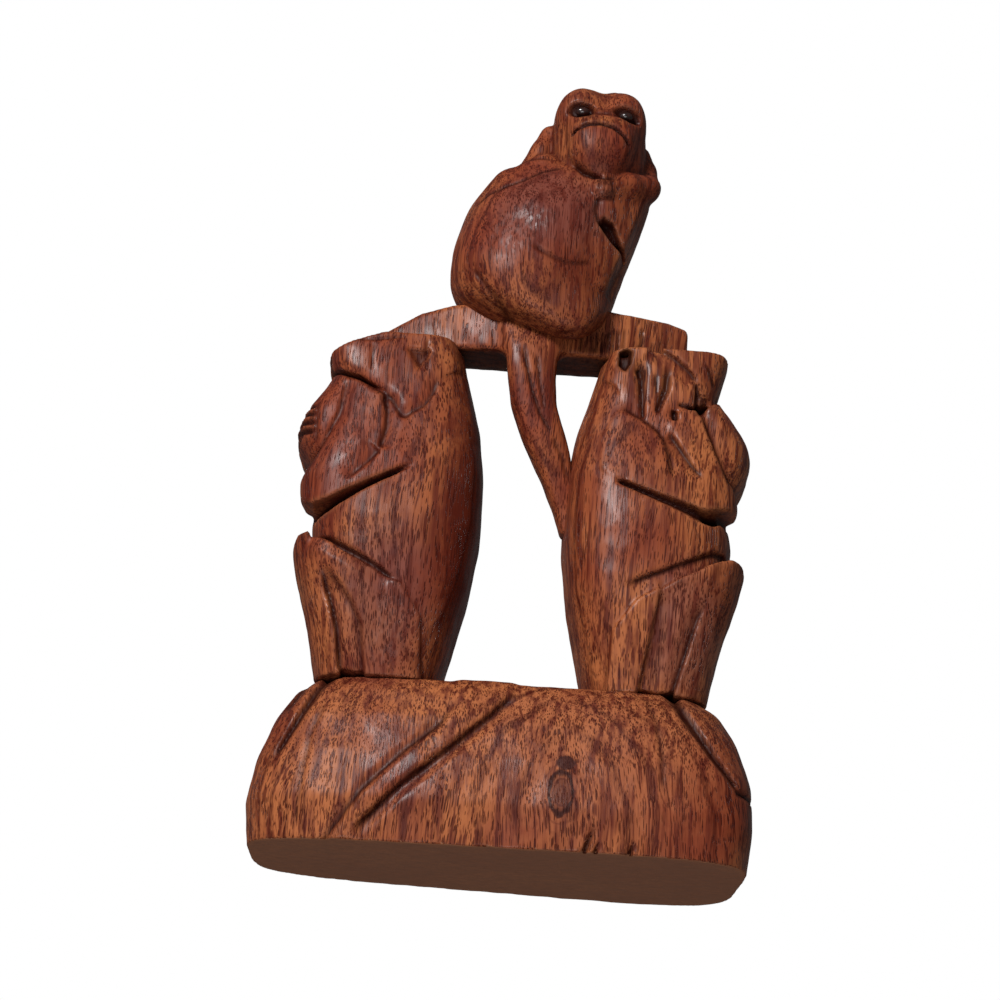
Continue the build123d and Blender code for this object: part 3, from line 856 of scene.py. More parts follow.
right_block = carve_right()
right_piece = carved_mesh("carved_right_monkey", right_block)


# %% [markdown]
# ## The perch and the hanging tail
# The perch is a board that bows forwards in its middle, with a bevel under its back edge, and its top
# rises to the middle. The sitting monkey's tail hangs from it to the right monkey's back, and both are
# cut from the same wood, so they are carved in one block. Short slanting cuts rough the board's front,
# and painted shade darkens its underside.

# %% Sizes of the perch
PERCH_MIDDLE, PERCH_HALF = 2.0, 39.0
PERCH_UNDER = 130.5
PERCH_TOP = ((-46, 132.8), (-37, 136.2), (-27.6, 141.2), (-19.8, 143.2), (-13.6, 143.6), (18, 144.2),
             (36, 143.6), (41, 142.6), (50, 141))
TAIL_SECTIONS = [(143.0, -7.4, 11.6, -10.2, -6.6), (137.0, -6.6, 9.6, -11.0, -6.0),
                 (131.0, -5.6, 7.8, -12.4, -5.7), (123.2, -4.6, 7.4, -12.6, -4.6),
                 (115.4, -3.2, 8.2, -12.0, -3.4), (106.4, 0.4, 11.4, -11.0, -2.3),
                 (97.4, 5.2, 13.7, -9.5, -1.1), (89.0, 8.9, 14.7, -8.0, -0.4), (83.0, 11.0, 14.9, -6.8, -0.8)]
FRONT_CUTS, CUT_GAP = 26, 2.9
HATCH_CUTS, HATCH_GAP = 9, 1.35
print("perch", 2 * PERCH_HALF, "mm long, tail", TAIL_SECTIONS[0][0] - TAIL_SECTIONS[-1][0], "mm")


# %% Carve the perch and the tail
def perch_board(block):
    x, y, z = block.x, block.y, block.z
    bow = ((x - PERCH_MIDDLE) / PERCH_HALF) ** 2
    front = -9.6 + 6.7 * bow
    back = 14.4 - 7.2 * bow
    top = np.interp(x.ravel(), *zip(*PERCH_TOP)).astype(np.float32)[:, None, None]
    board = soft_max(soft_max(front - y, y - back, 2.0), soft_max(z - top, PERCH_UNDER - z, 1.0), 1.6)
    board = soft_max(board, np.abs(x - PERCH_MIDDLE) - PERCH_HALF, 1.2)
    bevel = ((y - 4.8) * 6.2 - (z - PERCH_UNDER) * 9.6) / 11.4
    return limited(soft_max(board, bevel, 1.5))


def roughen_front(cut):
    """Short cuts over the board's front, left out where the tail hangs, a hatched patch, and painted shade under the
    board.
    """
    for k in range(FRONT_CUTS):
        foot = -35.0 + CUT_GAP * k + 0.9 * math.sin(3.1 * k)
        if not -6 < foot < 12:
            head = (foot + 0.07 * (foot - 2), 137.5 + 2.5 * math.sin(5.3 * k))
            cut.groove([(foot, 131.2), head], 0.42, 0.2, ends=(0.1, 0.3), dark=0.35 + 0.3 * math.sin(2.2 * k))
    y, z = cut.block.y, cut.block.z
    # Painted shade: a dark band on the underside just behind the front edge.
    cut.block.darken(0.85 * (ease((131.6 - z) / 0.8) * ease((z - 129.6) / 0.6) * ease((y + 8.5) / 2)))
    for k in range(HATCH_CUTS):
        foot = 13.6 + HATCH_GAP * k
        cut.groove([(foot - 0.4, 131.2), (foot, 137.0 + 0.35 * k)], 0.5, 0.4, dark=0.8)


def carve_perch():
    block = Block((-42, -18, 80), (46, 18, 146.5), FIGURE_GRID)
    block.add(perch_board(block), 0.5)
    face = ease((-block.y - 1) / 3)
    cut = Chisel(block, "front", face)
    roughen_front(cut)
    block.add(lofted(block, TAIL_SECTIONS, 3.2, cap=1.0), 3.0)
    on_tail = Chisel(block, "front", face * ease((134 - block.z) / 6))
    on_tail.groove([(-1.6, 131), (0.2, 124), (1.8, 118), (4.0, 112.5), (7.4, 107.0)], 0.6, 0.5, dark=0.9)
    on_tail.groove([(2.0, 129), (3.4, 121), (5.0, 113)], 0.6, 0.4, dark=0.6)
    on_tail.groove([(7.4, 107.0), (10.0, 102), (12.0, 96)], 0.7, 0.5, dark=0.6)
    cut.groove([(26.8, 131), (28.8, 136), (29.0, 141)], 0.6, 0.5, dark=0.8)
    return block


perch_block = carve_perch()
perch_piece = carved_mesh("carved_perch", perch_block)


# %% [markdown]
# ## The sitting monkey
# It is a round body with a full belly, its head turned up, its elbows out and its hands at its ears. A
# loft gives the body, two balls fill the belly, and a slanting slab closes the side between elbow and
# knee. The arms are rods, whose fillets melt them into the body as the carver's strokes do.

# %% Body and arms of the sitting monkey
SITTER_TORSO = [(132.7, 8.0, 13.0, -17.1, -12.2), (136.0, 0.0, 16.5, -19.4, -8.0),
                (140.0, -9.0, 18.8, -20.1, 0.0), (144.0, -17.6, 20.5, -20.3, 9.9),
                (151.0, -21.0, 22.0, -20.5, 16.0), (160.6, -21.0, 24.7, -20.4, 17.1),
                (170.6, -18.4, 27.8, -19.4, 16.0), (178.6, -14.2, 29.6, -16.4, 14.1),
                (184.2, -8.0, 28.6, -12.6, 11.0), (189.6, -1.0, 24.0, -9.1, 9.1)]
SITTER_ARMS = (
    ([(-12.5, -7, 170, 3.6), (-7.5, -8.5, 177.6, 4.2), (1.0, -9.5, 183.0, 4.0)], 2.0),
    ([(-2.6, -4.5, 183, 4.0), (0.8, -4.0, 191, 3.4), (2.4, -3.5, 196.6, 2.9)], 1.2),
    ([(17.0, -16.0, 174.8, 3.0), (23.4, -12.6, 177.6, 3.3), (28.6, -8.0, 180.2, 3.3)], 2.2),
    ([(28.9, -5.5, 181.5, 3.2), (28.2, -2.5, 188, 2.8), (27.0, -1.5, 193.5, 2.4)], 2.0),
)


def elbow_slab(block):
    """The slanting side between the right elbow and the knee."""
    x, y, z = block.x, block.y, block.z
    front = (-16.6 + 0.5 * (x - 17.0) - y) * 0.9
    side = (x - 31.0) + 0.33 * (184 - z) * (z < 184)
    slab = soft_max(soft_max(front, y - 8.5, 1.5), side, 1.5)
    slab = soft_max(slab, soft_max(146 - z, z - 180.5, 3.0), 2.0)
    return limited(soft_max(slab, 16.0 - x, 2.0))


def sitter_body(block):
    block.add(lofted(block, SITTER_TORSO, 2.5, cap=3.0, soften=4.0), 0.5)
    block.add(egg(block, (-1.5, -5.5, 152.0), (17.5, 15.8, 15.0), 10), 5.0)
    block.add(egg(block, (3.6, -6.2, 164.0), (16.0, 15.2, 12.5)), 3.0)
    block.add(elbow_slab(block), 2.0)
    for joints, blend in SITTER_ARMS:
        block.add(rod(block, joints), blend)
    block.add(egg(block, (16.4, -17.4, 173.4), (3.0, 2.6, 2.8)), 0.6)


print("sitting monkey's body drawn,", len(SITTER_ARMS), "arm members")


# %% [markdown]
# ## Head and face of the sitting monkey
# Two balls make the bulging brows, a third cuts the dip between them, and a loft makes the snout. Under
# the brows lie two leaning eye sockets, and the mouth is one deep, downturned groove.

# %% Head and face of the sitting monkey
SITTER_HEAD = [(178.0, 4.5, 26.5, -13.5, 8.0), (184.2, 3.2, 27.8, -15.6, 9.9),
               (192.2, 2.6, 28.0, -17.0, 11.8), (199.2, 2.8, 27.4, -16.6, 11.0),
               (205.2, 5.0, 25.0, -13.6, 9.1), (208.8, 9.5, 21.5, -9.1, 4.9)]
SITTER_SNOUT = [(177.0, 11.4, 19.6, -16.5, -6), (180.0, 9.4, 21.8, -18.8, -6), (185.0, 7.8, 23.6, -20.4, -6),
                (190.0, 7.0, 24.6, -20.6, -6), (194.4, 7.4, 24.2, -19.4, -6), (197.2, 9.6, 21.8, -17.4, -6)]
SITTER_MOUTH = [(7.2, 188.8), (9.0, 190.4), (12.0, 191.4), (15.0, 191.6), (18.2, 190.8), (21.2, 188.6),
                (23.2, 186.0)]
EYE_SOCKETS = (((10.0, 197.0), -0.06), ((21.8, 196.5), -0.16))


def sitter_head(block):
    head = lofted(block, SITTER_HEAD, 2.7, cap=2.5)
    head = soft_min(head, egg(block, (9.6, -11.6, 199.0), (5.9, 6.0, 7.2), -12), 2.4)
    head = soft_min(head, egg(block, (21.4, -11.6, 198.4), (5.6, 6.0, 7.0), 12), 2.4)
    head = soft_max(head, -egg(block, (15.6, -14.0, 210.6), (2.6, 12.0, 4.6)), 2.0)
    head = soft_min(head, lofted(block, SITTER_SNOUT, 2.8), 2.8)
    block.add(head, 0.7)


def carve_sitter_face(block):
    face = Chisel(block, "front", ease((-block.y - 8) / 4))
    for centre, lean in EYE_SOCKETS:
        face.hollow(centre, (3.4, 2.1), 1.7, lean=lean, level=1.3, sharp=1.5, dark=1.2)
    face.groove(SITTER_MOUTH, 0.7, 1.3, ends=(0.1, 0.1))
    face.groove([(7.6, 194.6), (11, 195.4), (15.8, 195.6), (20.5, 195.0), (24.0, 193.6)], 0.7, 0.5, dark=0.5)
    face.groove([(6.2, 199), (6.4, 191), (7.4, 184.5), (10.5, 179.4)], 0.5, 0.2, dark=0.4)
    # This groove's dark line is painted shade under the chin.
    face.groove([(8.6, 182.0), (11.5, 178.6), (16.5, 176.6), (20.5, 177.5)], 0.9, 0.8, dark=0.9)


print("sitting monkey's head drawn,", len(EYE_SOCKETS), "eye sockets")


# %% [markdown]
# ## Carve the sitting monkey
# The folds at shoulder, belly and thigh are shallow grooves, and a pocket opens the gap under the right
# elbow, with painted shade in it. On the back, which the photograph doesn't show, two cuts mark the neck and the seat.

# %% Carve the sitting monkey
SHOULDER_FOLD = [(-16.3, 168.6), (-12.3, 172.0), (-7.3, 174.0), (-3.8, 175.4), (1.0, 178.8), (6.5, 181.0)]
BELLY_FOLD = [(-1.2, 154.8), (1.6, 152.6), (4.0, 151.4), (7.6, 150.3), (11.5, 150.8), (15.0, 152.6)]
ELBOW_GAP = [(15.9, 163.4), (17.2, 165.4), (19.6, 164.4), (23.4, 157.4), (19.9, 159.4)]
CHIN_CUTS = 3


def carve_sitter():
    block = Block((-25, -24.5, 131), (35, 19.5, 212.5), FIGURE_GRID)
    sitter_body(block)
    sitter_head(block)
    carve_sitter_face(block)
    shoulder = Chisel(block, "front", ease(-block.y / 5))
    shoulder.groove(SHOULDER_FOLD, 0.6, 0.6, ends=(0.1, 0.1), dark=0.8)
    arm = Chisel(block, "front", ease((4 - block.y) / 5))
    arm.groove([(-8.0, 182.2), (-2.4, 184.4), (3.2, 184.0)], 0.8, 0.6, dark=0.6)
    front = Chisel(block, "front", ease((-block.y - 6) / 4))
    # Painted shade darkens the gap under the elbow.
    front.pocket(ELBOW_GAP, 2.6, 1.2, level=0.5, dark_level=0.7)
    front.stop_cut([(15.4, 171.0), (14.8, 167.0), (15.9, 163.4)], 2.2, 0.8, dark=0.7)
    front.stop_cut([(23.4, 157.4), (20.6, 151), (18.8, 145)], 2.6, 0.6, dark=0.3)
    front.groove(BELLY_FOLD, 0.9, 0.5, dark=0.5)
    front.groove([(-15.5, 149), (-11.0, 143), (-6.4, 138.5), (-2.6, 135.4)], 0.8, 0.5, dark=0.6)
    for k in range(CHIN_CUTS):
        top = (15.4 + 1.5 * k, 176.2 + 0.4 * k)
        foot = (15.4 + 1.6 * k, 173.0 + 0.5 * k)
        front.groove([top, foot], 0.5, 0.5, dark=0.8)
    back = Chisel(block, "front", ease((block.y - 3) / 4))
    back.groove([(4.0, 186.8), (9.0, 184.2), (16.0, 183.4), (23.0, 184.4), (28.0, 187)], 1.2, 1.2)
    back.groove([(-18, 150), (-8, 146), (4, 144.6), (14, 145.6), (20, 149)], 1.2, 0.8, dark=0.6)
    return block


sitter_block = carve_sitter()
sitter_piece = carved_mesh("carved_sitting_monkey", sitter_block)


# %% [markdown]
# ## The eyes
# Each eye is a small flat boss left standing in its socket and stained black. It is a ball of three
# radii on a finer grid, because it is only a few millimetres wide.

# %% Carve the eyes
EYE_RADII = (1.9, 1.5, 1.25)
EYE_ROOM = 3.6


def carve_eye(name, centre):
    block = Block([c - EYE_ROOM for c in centre], [c + EYE_ROOM for c in centre], EYE_GRID)
    block.add(egg(block, centre, EYE_RADII, 3), 0.5)
    return carved_mesh(name, block)


eye_pieces = {
    "top_monkey_left_eye": carve_eye("carved_left_eye", (10.2, -16.2, 197.0)),
    "top_monkey_right_eye": carve_eye("carved_right_eye", (21.6, -15.9, 196.5)),
}


# %% [markdown]
# ## Nodes and colours
# Node trees are written with one function, which adds a node, sets its options and gives it values or
# links. Python's partial fills in the tree, so that each cell only says what it adds. A Mix node has
# sockets for numbers, vectors and colours, so the colour ones are picked by number. Colours are written
# as they look on the object, and turned to linear once.

# %% Nodes and colours
MATH, VECTOR, RANGE = "ShaderNodeMath", "ShaderNodeVectorMath", "ShaderNodeMapRange"
NOISE, CELLS, MIX = "ShaderNodeTexNoise", "ShaderNodeTexVoronoi", "ShaderNodeMix"
SMOOTH = {"interpolation_type": "SMOOTHSTEP"}
SHARE, UNDER, OVER, MIXED = 0, 6, 7, 2


def set_inputs(tree, node, inputs):
    pairs = inputs.items() if isinstance(inputs, dict) else enumerate(inputs)
    for key, value in pairs:
        if isinstance(value, bpy.types.NodeSocket):
            tree.links.new(value, node.inputs[key])
        else:
            node.inputs[key].default_value = value


def add_node(tree, kind, inputs=(), output=0, **settings):
    """Adds a node with its settings, values and links, and gives back one of its outputs."""
    node = tree.nodes.new(kind)
    for key, value in settings.items():
        setattr(node, key, value)
    set_inputs(tree, node, inputs)
    return node.outputs[output]


def linear(text):
    values = [int(text[i:i + 2], 16) / 255 for i in (1, 3, 5)]
    return tuple(v / 12.92 if v <= 0.04045 else ((v + 0.055) / 1.055) ** 2.4 for v in values) + (1.0,)


def new_finish(name):
    """A material, its node tree and its shader."""
    material = bpy.data.materials.new(name)
    material.use_nodes = True
    return material, material.node_tree, material.node_tree.nodes["Principled BSDF"]


print("node tools ready")


# %% [markdown]
# ## Tool marks
# A gouge and a scraper leave shallow facets a few millimetres wide, and the varnish sinks a little
# between the fibres. Both repeat all over the surface, so a node tree moves the surface by them. It has
# its sizes as inputs, and its patterns are fixed in space, so they are the same on every run. Each
# pattern's middle value is taken off first, which keeps the surface where it was carved.

# %% Tool marks
MARK_SIZES = {"Facet size mm": 5.0, "Facet depth mm": 0.22, "Fibre depth mm": 0.07}
FACET_MIDDLE, FIBRE_MIDDLE = 0.45, 0.5


def tool_marks():
    tree = bpy.data.node_groups.new("Tool marks", "GeometryNodeTree")
    face = tree.interface
    face.new_socket("Geometry", in_out="INPUT", socket_type="NodeSocketGeometry")
    for name, default in MARK_SIZES.items():
        face.new_socket(name, in_out="INPUT", socket_type="NodeSocketFloat").default_value = default
    face.new_socket("Finish", in_out="INPUT", socket_type="NodeSocketMaterial")
    face.new_socket("Geometry", in_out="OUTPUT", socket_type="NodeSocketGeometry")
    given = tree.nodes.new("NodeGroupInput").outputs
    add = partial(add_node, tree)
    place = add(VECTOR, {0: add("GeometryNodeInputPosition"), "Scale": 1 / MM}, operation="SCALE")
    facets = add(CELLS, {
        "Vector": place,
        "Scale": add(MATH, (1.0, given["Facet size mm"]), operation="DIVIDE"),
        "Smoothness": 0.25,
    }, feature="SMOOTH_F1")
    fibre_space = add(VECTOR, (place, (1.1, 1.1, 0.09)), operation="MULTIPLY")
    fibres = add(NOISE, {"Vector": fibre_space, "Scale": 1.0, "Detail": 2.0})

    def relief(pattern, middle, depth):
        level = add(MATH, (pattern, middle), operation="SUBTRACT")
        return add(MATH, (level, depth), operation="MULTIPLY")

    both = (relief(facets, FACET_MIDDLE, given["Facet depth mm"]),
            relief(fibres, FIBRE_MIDDLE, given["Fibre depth mm"]))
    metres = add(MATH, (add(MATH, both, operation="ADD"), MM), operation="MULTIPLY")
    offset = add(VECTOR, {0: add("GeometryNodeInputNormal"), "Scale": metres}, operation="SCALE")
    moved = add("GeometryNodeSetPosition", {"Geometry": given["Geometry"], "Offset": offset})
    smooth = add("GeometryNodeSetShadeSmooth", (moved,))
    whole = add("GeometryNodeRealizeInstances", {"Geometry": smooth})
    finished = add("GeometryNodeSetMaterial", {"Geometry": whole, "Material": given["Finish"]})
    tree.links.new(finished, tree.nodes.new("NodeGroupOutput").inputs[0])
    return tree


def worked_over(piece, tree, finish):
    """Runs the tool marks over a piece and keeps the result as its plain mesh."""
    marks = piece.modifiers.new("Tool marks", "NODES")
    marks.node_group = tree
    for item in tree.interface.items_tree:
        if item.name == "Finish":
            marks[item.identifier] = finish
    piece.update_tag()
    bpy.context.view_layer.update()
    made = bpy.data.meshes.new_from_object(piece.evaluated_get(bpy.context.evaluated_depsgraph_get()))
    piece.modifiers.remove(marks)
    old = piece.data
    piece.data = made
    made.name = piece.name
    bpy.data.meshes.remove(old)


MARKS = tool_marks()
print("tool marks of", MARK_SIZES["Facet size mm"], "mm, cut", MARK_SIZES["Facet depth mm"], "mm deep")


# %% [markdown]
# ## Figure of the wood
# The wood is a red-brown tropical hardwood with upright grain. Its growth rings stand 3.1 mm apart round
# a pith in front of the block, and wander a little. Streaks are about 1.8 mm wide and 33 mm long, thin
# lines 0.8 mm and 45 mm. Real fibres and pores are under 0.3 mm wide, too fine for the picture, so they
# are drawn 0.35 mm wide, the fibres 14 mm and the pores 5.6 mm long. Everything reads Object
# coordinates, so a surface shows what a cut through real wood would show. Each pair of numbers below
# says how many features lie in one millimetre, across the grain and along it.

# %% Figure of the wood
RING_GAP = 3.1
PITH = (14.0, -96.0, 0.0)
WANDER = 16.0
FIBRES = (2.8, 0.07)
STREAKS = (0.55, 0.03)
GRAIN_LINES = (1.25, 0.022)
PORES = (2.9, 0.18)


def grain(add, place, across, along, detail=2.0, rough=0.5):
    """Noise drawn out along the grain."""
    space = add(VECTOR, (place, (across, across, along)), operation="MULTIPLY")
    return add(NOISE, {"Vector": space, "Scale": 1.0, "Detail": detail, "Roughness": rough})


def bent_grain(add, mm):
    """Places moved sideways by a slow wander, for grain that isn't quite straight."""
    slow = add(VECTOR, (mm, (1, 1, 0.35)), operation="MULTIPLY")
    wander = add(NOISE, {"Vector": slow, "Scale": 0.03, "Detail": 2.0}, "Color")
    centred = add(VECTOR, (wander, (0.5, 0.5, 0.5)), operation="SUBTRACT")
    sway = add(VECTOR, {0: centred, "Scale": WANDER}, operation="SCALE")
    return add(VECTOR, (mm, sway), operation="ADD")


def ring_lines(add, mm, bent, fibre):
    """Dark late wood of the rings, in some places only, and broken by the fibres."""
    from_pith = add(VECTOR, (bent, PITH), operation="SUBTRACT")
    flat = add(VECTOR, (from_pith, (1, 1, 0.02)), operation="MULTIPLY")
    radius = add(VECTOR, (flat,), "Value", operation="LENGTH")
    turns = add(MATH, (radius, 2 * math.pi / RING_GAP), operation="MULTIPLY")
    ring = add(RANGE, (add(MATH, (turns,), operation="SINE"), 0.45, 1.0, 0.0, 1.0), **SMOOTH)
    where = add(RANGE, (grain(add, mm, 0.12, 0.02), 0.38, 0.62, 0.0, 1.0), **SMOOTH)
    broken = add(RANGE, (fibre, 0.3, 0.6, 0.2, 0.8), **SMOOTH)
    return add(MATH, (add(MATH, (ring, where), operation="MULTIPLY"), broken), operation="MULTIPLY")


def pore_dashes(add, mm, bent):
    """Open pores, closer together in some places than in others."""
    space = add(VECTOR, (bent, (PORES[0], PORES[0], PORES[1])), operation="MULTIPLY")
    gap = add(CELLS, {"Vector": space, "Scale": 1.0, "Randomness": 1.0}, "Distance")
    size = add(RANGE, (grain(add, mm, 0.3, 0.06), 0.3, 0.7, 0.24, 0.46), **SMOOTH)
    inside = add(MATH, (add(MATH, (size, gap), operation="SUBTRACT"), 9.0), operation="MULTIPLY")
    return add(MATH, (add(MATH, (inside, 0.0), operation="MAXIMUM"), 1.0), operation="MINIMUM")


print("rings", RING_GAP, "mm apart, fibres", round(1 / FIBRES[0], 2), "mm wide")


# %% [markdown]
# ## Patches and the knot
# One block isn't one colour. The log is paler in its middle, the crouching monkeys have purplish
# patches and the sitting monkey's lip is lighter. Painted shade darkens the inner sides of the crouching
# monkeys and the sitting monkey's lap and chin. A knot on the log's front has a dark rim with rings round
# it and a small dark heart above. A patch is measured in shares of its size, 1 at its rim, which a little
# noise makes ragged.

# %% Patches and the knot
PATCHES = {
    "log middle": ((18.0, -27.0, 24.0), (34.0, 14.0, 22.0), 0.65, 1.5, "#b26a44"),
    "left flank": ((-30.0, -14.0, 62.0), (13.0, 16.0, 26.0), 0.65, 1.45, "#74433b"),
    "belly": ((4.0, -20.0, 166.0), (17.0, 14.0, 15.0), 0.65, 1.45, "#74433b"),
    "right shin": ((41.0, -18.0, 56.0), (10.0, 12.0, 20.0), 0.65, 1.45, "#74433b"),
    # The lap, chin and inner side patches are painted shade.
    "lap": ((13.0, -17.0, 143.0), (14.0, 14.0, 14.0), 0.55, 1.5, "#55180f"),
    "chin": ((16.0, -21.0, 180.5), (8.0, 9.0, 4.5), 0.6, 1.5, "#4a170f"),
    "lip": ((14.5, -20.0, 192.8), (7.5, 8.0, 2.2), 0.5, 1.5, "#b8703f"),
    "inner side": ((-12.0, 0.0, 82.0), (9.5, 40.0, 42.0), 0.88, 1.45, "#55120a"),
}
PATCH_CORE = 0.75
KNOT = ((13.6, -28.8, 13.2), (2.7, 4.0, 4.8))
KNOT_HEART = ((14.4, -28.0, 20.4), (2.4, 3.0, 1.9))


def away_from(add, mm, centre, size):
    """Distance from a patch's middle in shares of its size, with a ragged rim."""
    offset = add(VECTOR, (mm, centre), operation="SUBTRACT")
    shares = add(VECTOR, (offset, tuple(1 / length for length in size)), operation="MULTIPLY")
    ragged = add(MATH, (add(NOISE, {"Vector": mm, "Scale": 0.45}), 0.5), operation="MULTIPLY")
    return add(MATH, (add(VECTOR, (shares,), "Value", operation="LENGTH"), ragged), operation="ADD")


def knot_layers(add, mm):
    """Shares and colours of the knot: its face, the rings round it, its rim and the heart above."""
    knot = away_from(add, mm, *KNOT)
    heart = away_from(add, mm, *KNOT_HEART)
    face = add(RANGE, (knot, 0.9, 1.3, 0.75, 0.0), **SMOOTH)
    wave = add(MATH, (add(MATH, (knot, 15.0), operation="MULTIPLY"),), operation="SINE")
    rings = add(RANGE, (wave, 0.2, 1.0, 0.0, 0.5), **SMOOTH)
    near = add(RANGE, (knot, 1.2, 2.8, 1.0, 0.0), **SMOOTH)
    from_rim = add(MATH, (add(MATH, (knot, 1.25), operation="SUBTRACT"),), operation="ABSOLUTE")
    rim = add(MATH, (1.0, add(MATH, (from_rim, 4.5), operation="MULTIPLY")), operation="SUBTRACT")
    return [
        (face, "#54261a"),
        (add(MATH, (rings, near), operation="MULTIPLY"), "#4a160c"),
        (add(RANGE, (rim, 0.0, 0.8, 0.0, 0.95), **SMOOTH), "#300c07"),
        (add(RANGE, (heart, 1.0, 1.3, 0.92, 0.0), **SMOOTH), "#3a1815"),
    ]


print(len(PATCHES), "patches and a knot")


# %% [markdown]
# ## Colour of the wood
# The colour is laid on in coats from broad to fine, as the eye reads it: tan to russet, the patches,
# some of them painted shade, plum streaks, thin lines, fibres, ring lines and pores. Then come red stain
# and painted shade in the hollows, near black stain and painted shade in the cuts and under the perch,
# and paler wood on edges that hands have rubbed.

# %% Colour of the wood
TAN, RUSSET, PLUM, DEEP = "#b0673d", "#823b24", "#561e16", "#3e0c06"


def wood_colour(add, mm):
    """Colour of the wood with its painted shade, and its fibres, pores, stain and shade, and hollows for the finishes.
    """
    bent = bent_grain(add, mm)
    fibre = grain(add, mm, *FIBRES, 3.0, 0.6)
    streak = grain(add, mm, *STREAKS, 3.0, 0.55)
    line = grain(add, bent, *GRAIN_LINES)
    pore = pore_dashes(add, mm, bent)
    tone = add(NOISE, {"Vector": mm, "Scale": 0.03})
    stain, hollow, worn = [add("ShaderNodeAttribute", (), "Fac", attribute_name=name)
                           for name in ("stain", "hollow", "worn")]
    coats = [(add(RANGE, (tone, 0.36, 0.66, 0.0, 1.0), **SMOOTH), RUSSET)]
    for centre, size, share, rim, shade in PATCHES.values():
        away = away_from(add, mm, centre, size)
        coats.append((add(RANGE, (away, PATCH_CORE, rim, share, 0.0), **SMOOTH), shade))
    coats += [
        (add(RANGE, (streak, 0.42, 0.68, 0.0, 0.85), **SMOOTH), PLUM),
        (add(RANGE, (line, 0.55, 0.63, 0.0, 0.8), **SMOOTH), "#4a130a"),
        (add(RANGE, (fibre, 0.35, 0.75, 0.0, 0.35), **SMOOTH), RUSSET),
        (ring_lines(add, mm, bent, fibre), DEEP),
        (add(RANGE, (fibre, 0.56, 0.68, 0.0, 0.75), **SMOOTH), DEEP),
        (add(MATH, (pore, 0.85), operation="MULTIPLY"), "#3e0d06"),
        # Stain and painted shade: red in the hollows, near black in the cuts and under the perch.
        (add(MATH, (hollow, 0.75), operation="MULTIPLY"), "#451208"),
        (add(MATH, (stain, 0.92), operation="MULTIPLY"), "#200603"),
        (add(MATH, (worn, 0.25), operation="MULTIPLY"), "#a86a46"),
    ]
    colour = linear(TAN)
    for share, shade in coats + knot_layers(add, mm):
        colour = add(MIX, {SHARE: share, UNDER: colour, OVER: linear(shade)}, MIXED, data_type="RGBA")
    return colour, fibre, pore, stain, hollow


def wood_relief(add, fibre, pore, strength, depth):
    """Bump of raised fibres and open pores, with its depth in millimetres."""
    height = add(MATH, (add(MATH, (fibre, 0.35), operation="MULTIPLY"), pore), operation="SUBTRACT")
    return add("ShaderNodeBump", {"Strength": strength, "Distance": depth * MM, "Height": height})


print("colour runs from", TAN, "to", DEEP)


# %% [markdown]
# ## Varnished hardwood
# Brushed varnish lies unevenly: the eye sees a soft sheen that comes and goes over the broad faces, dull
# hollows where it has soaked in, and bright broken spots where the belly and one leg are polished. So
# the wood itself is matt, and a coat with the index of varnish, 1.5, lies over it in changing weight.

# %% Varnished hardwood
BELLY_POLISH = ((-4.0, -22.0, 160.5), (9.0, 10.0, 8.0))
LEG_POLISH = ((-28.6, -20.0, 52.0), (4.5, 8.0, 12.0))
VARNISH_LOOK = {"Roughness": 0.5, "IOR": 1.5, "Specular IOR Level": 0.12,
                "Coat Roughness": 0.3, "Coat IOR": 1.5}


def in_millimetres(add):
    place = add("ShaderNodeTexCoord", (), "Object")
    return add(VECTOR, {0: place, "Scale": 1 / MM}, operation="SCALE")


def varnish_weight(add, mm, stain, hollow):
    soaked = add(MATH, (stain, add(MATH, (hollow, 0.85), operation="MULTIPLY")), operation="MAXIMUM")
    uneven = add(NOISE, {"Vector": mm, "Scale": 0.07})
    sheen = add(RANGE, (uneven, 0.45, 0.62, 0.07, 0.34), **SMOOTH)
    spots = [away_from(add, mm, *spot) for spot in (BELLY_POLISH, LEG_POLISH)]
    polish = add(RANGE, (add(MATH, spots, operation="MINIMUM"), PATCH_CORE, 1.5, 1.0, 0.0), **SMOOTH)
    space = add(VECTOR, (mm, (1.0, 1.0, 0.5)), operation="MULTIPLY")
    speckle = add(NOISE, {"Vector": space, "Scale": 0.8, "Detail": 3.0})
    broken = add(RANGE, (speckle, 0.42, 0.6, 0.0, 1.0), **SMOOTH)
    bright = add(MATH, (sheen, add(MATH, (polish, broken), operation="MULTIPLY")), operation="MAXIMUM")
    return add(MATH, (bright, add(MATH, (1.0, soaked), operation="SUBTRACT")), operation="MULTIPLY")


def varnished_hardwood():
    material, tree, shader = new_finish("varnished red-brown hardwood")
    add = partial(add_node, tree)
    mm = in_millimetres(add)
    colour, fibre, pore, stain, hollow = wood_colour(add, mm)
    relief = wood_relief(add, fibre, pore, 0.8, 0.16)
    set_inputs(tree, shader, VARNISH_LOOK)
    set_inputs(tree, shader, {"Base Color": colour, "Normal": relief, "Coat Normal": relief,
                              "Coat Weight": varnish_weight(add, mm, stain, hollow)})
    return material


VARNISHED = varnished_hardwood()
print("made", VARNISHED.name)


# %% [markdown]
# ## Bare sawn underside and stained eyes
# The log's underside was sawn flat and left bare: matt, paler, with faint saw lines that run along the
# log. The eyes are stained nearly black under a thicker, smoother drop of varnish, which gives the one
# sharp glint on the ornament.

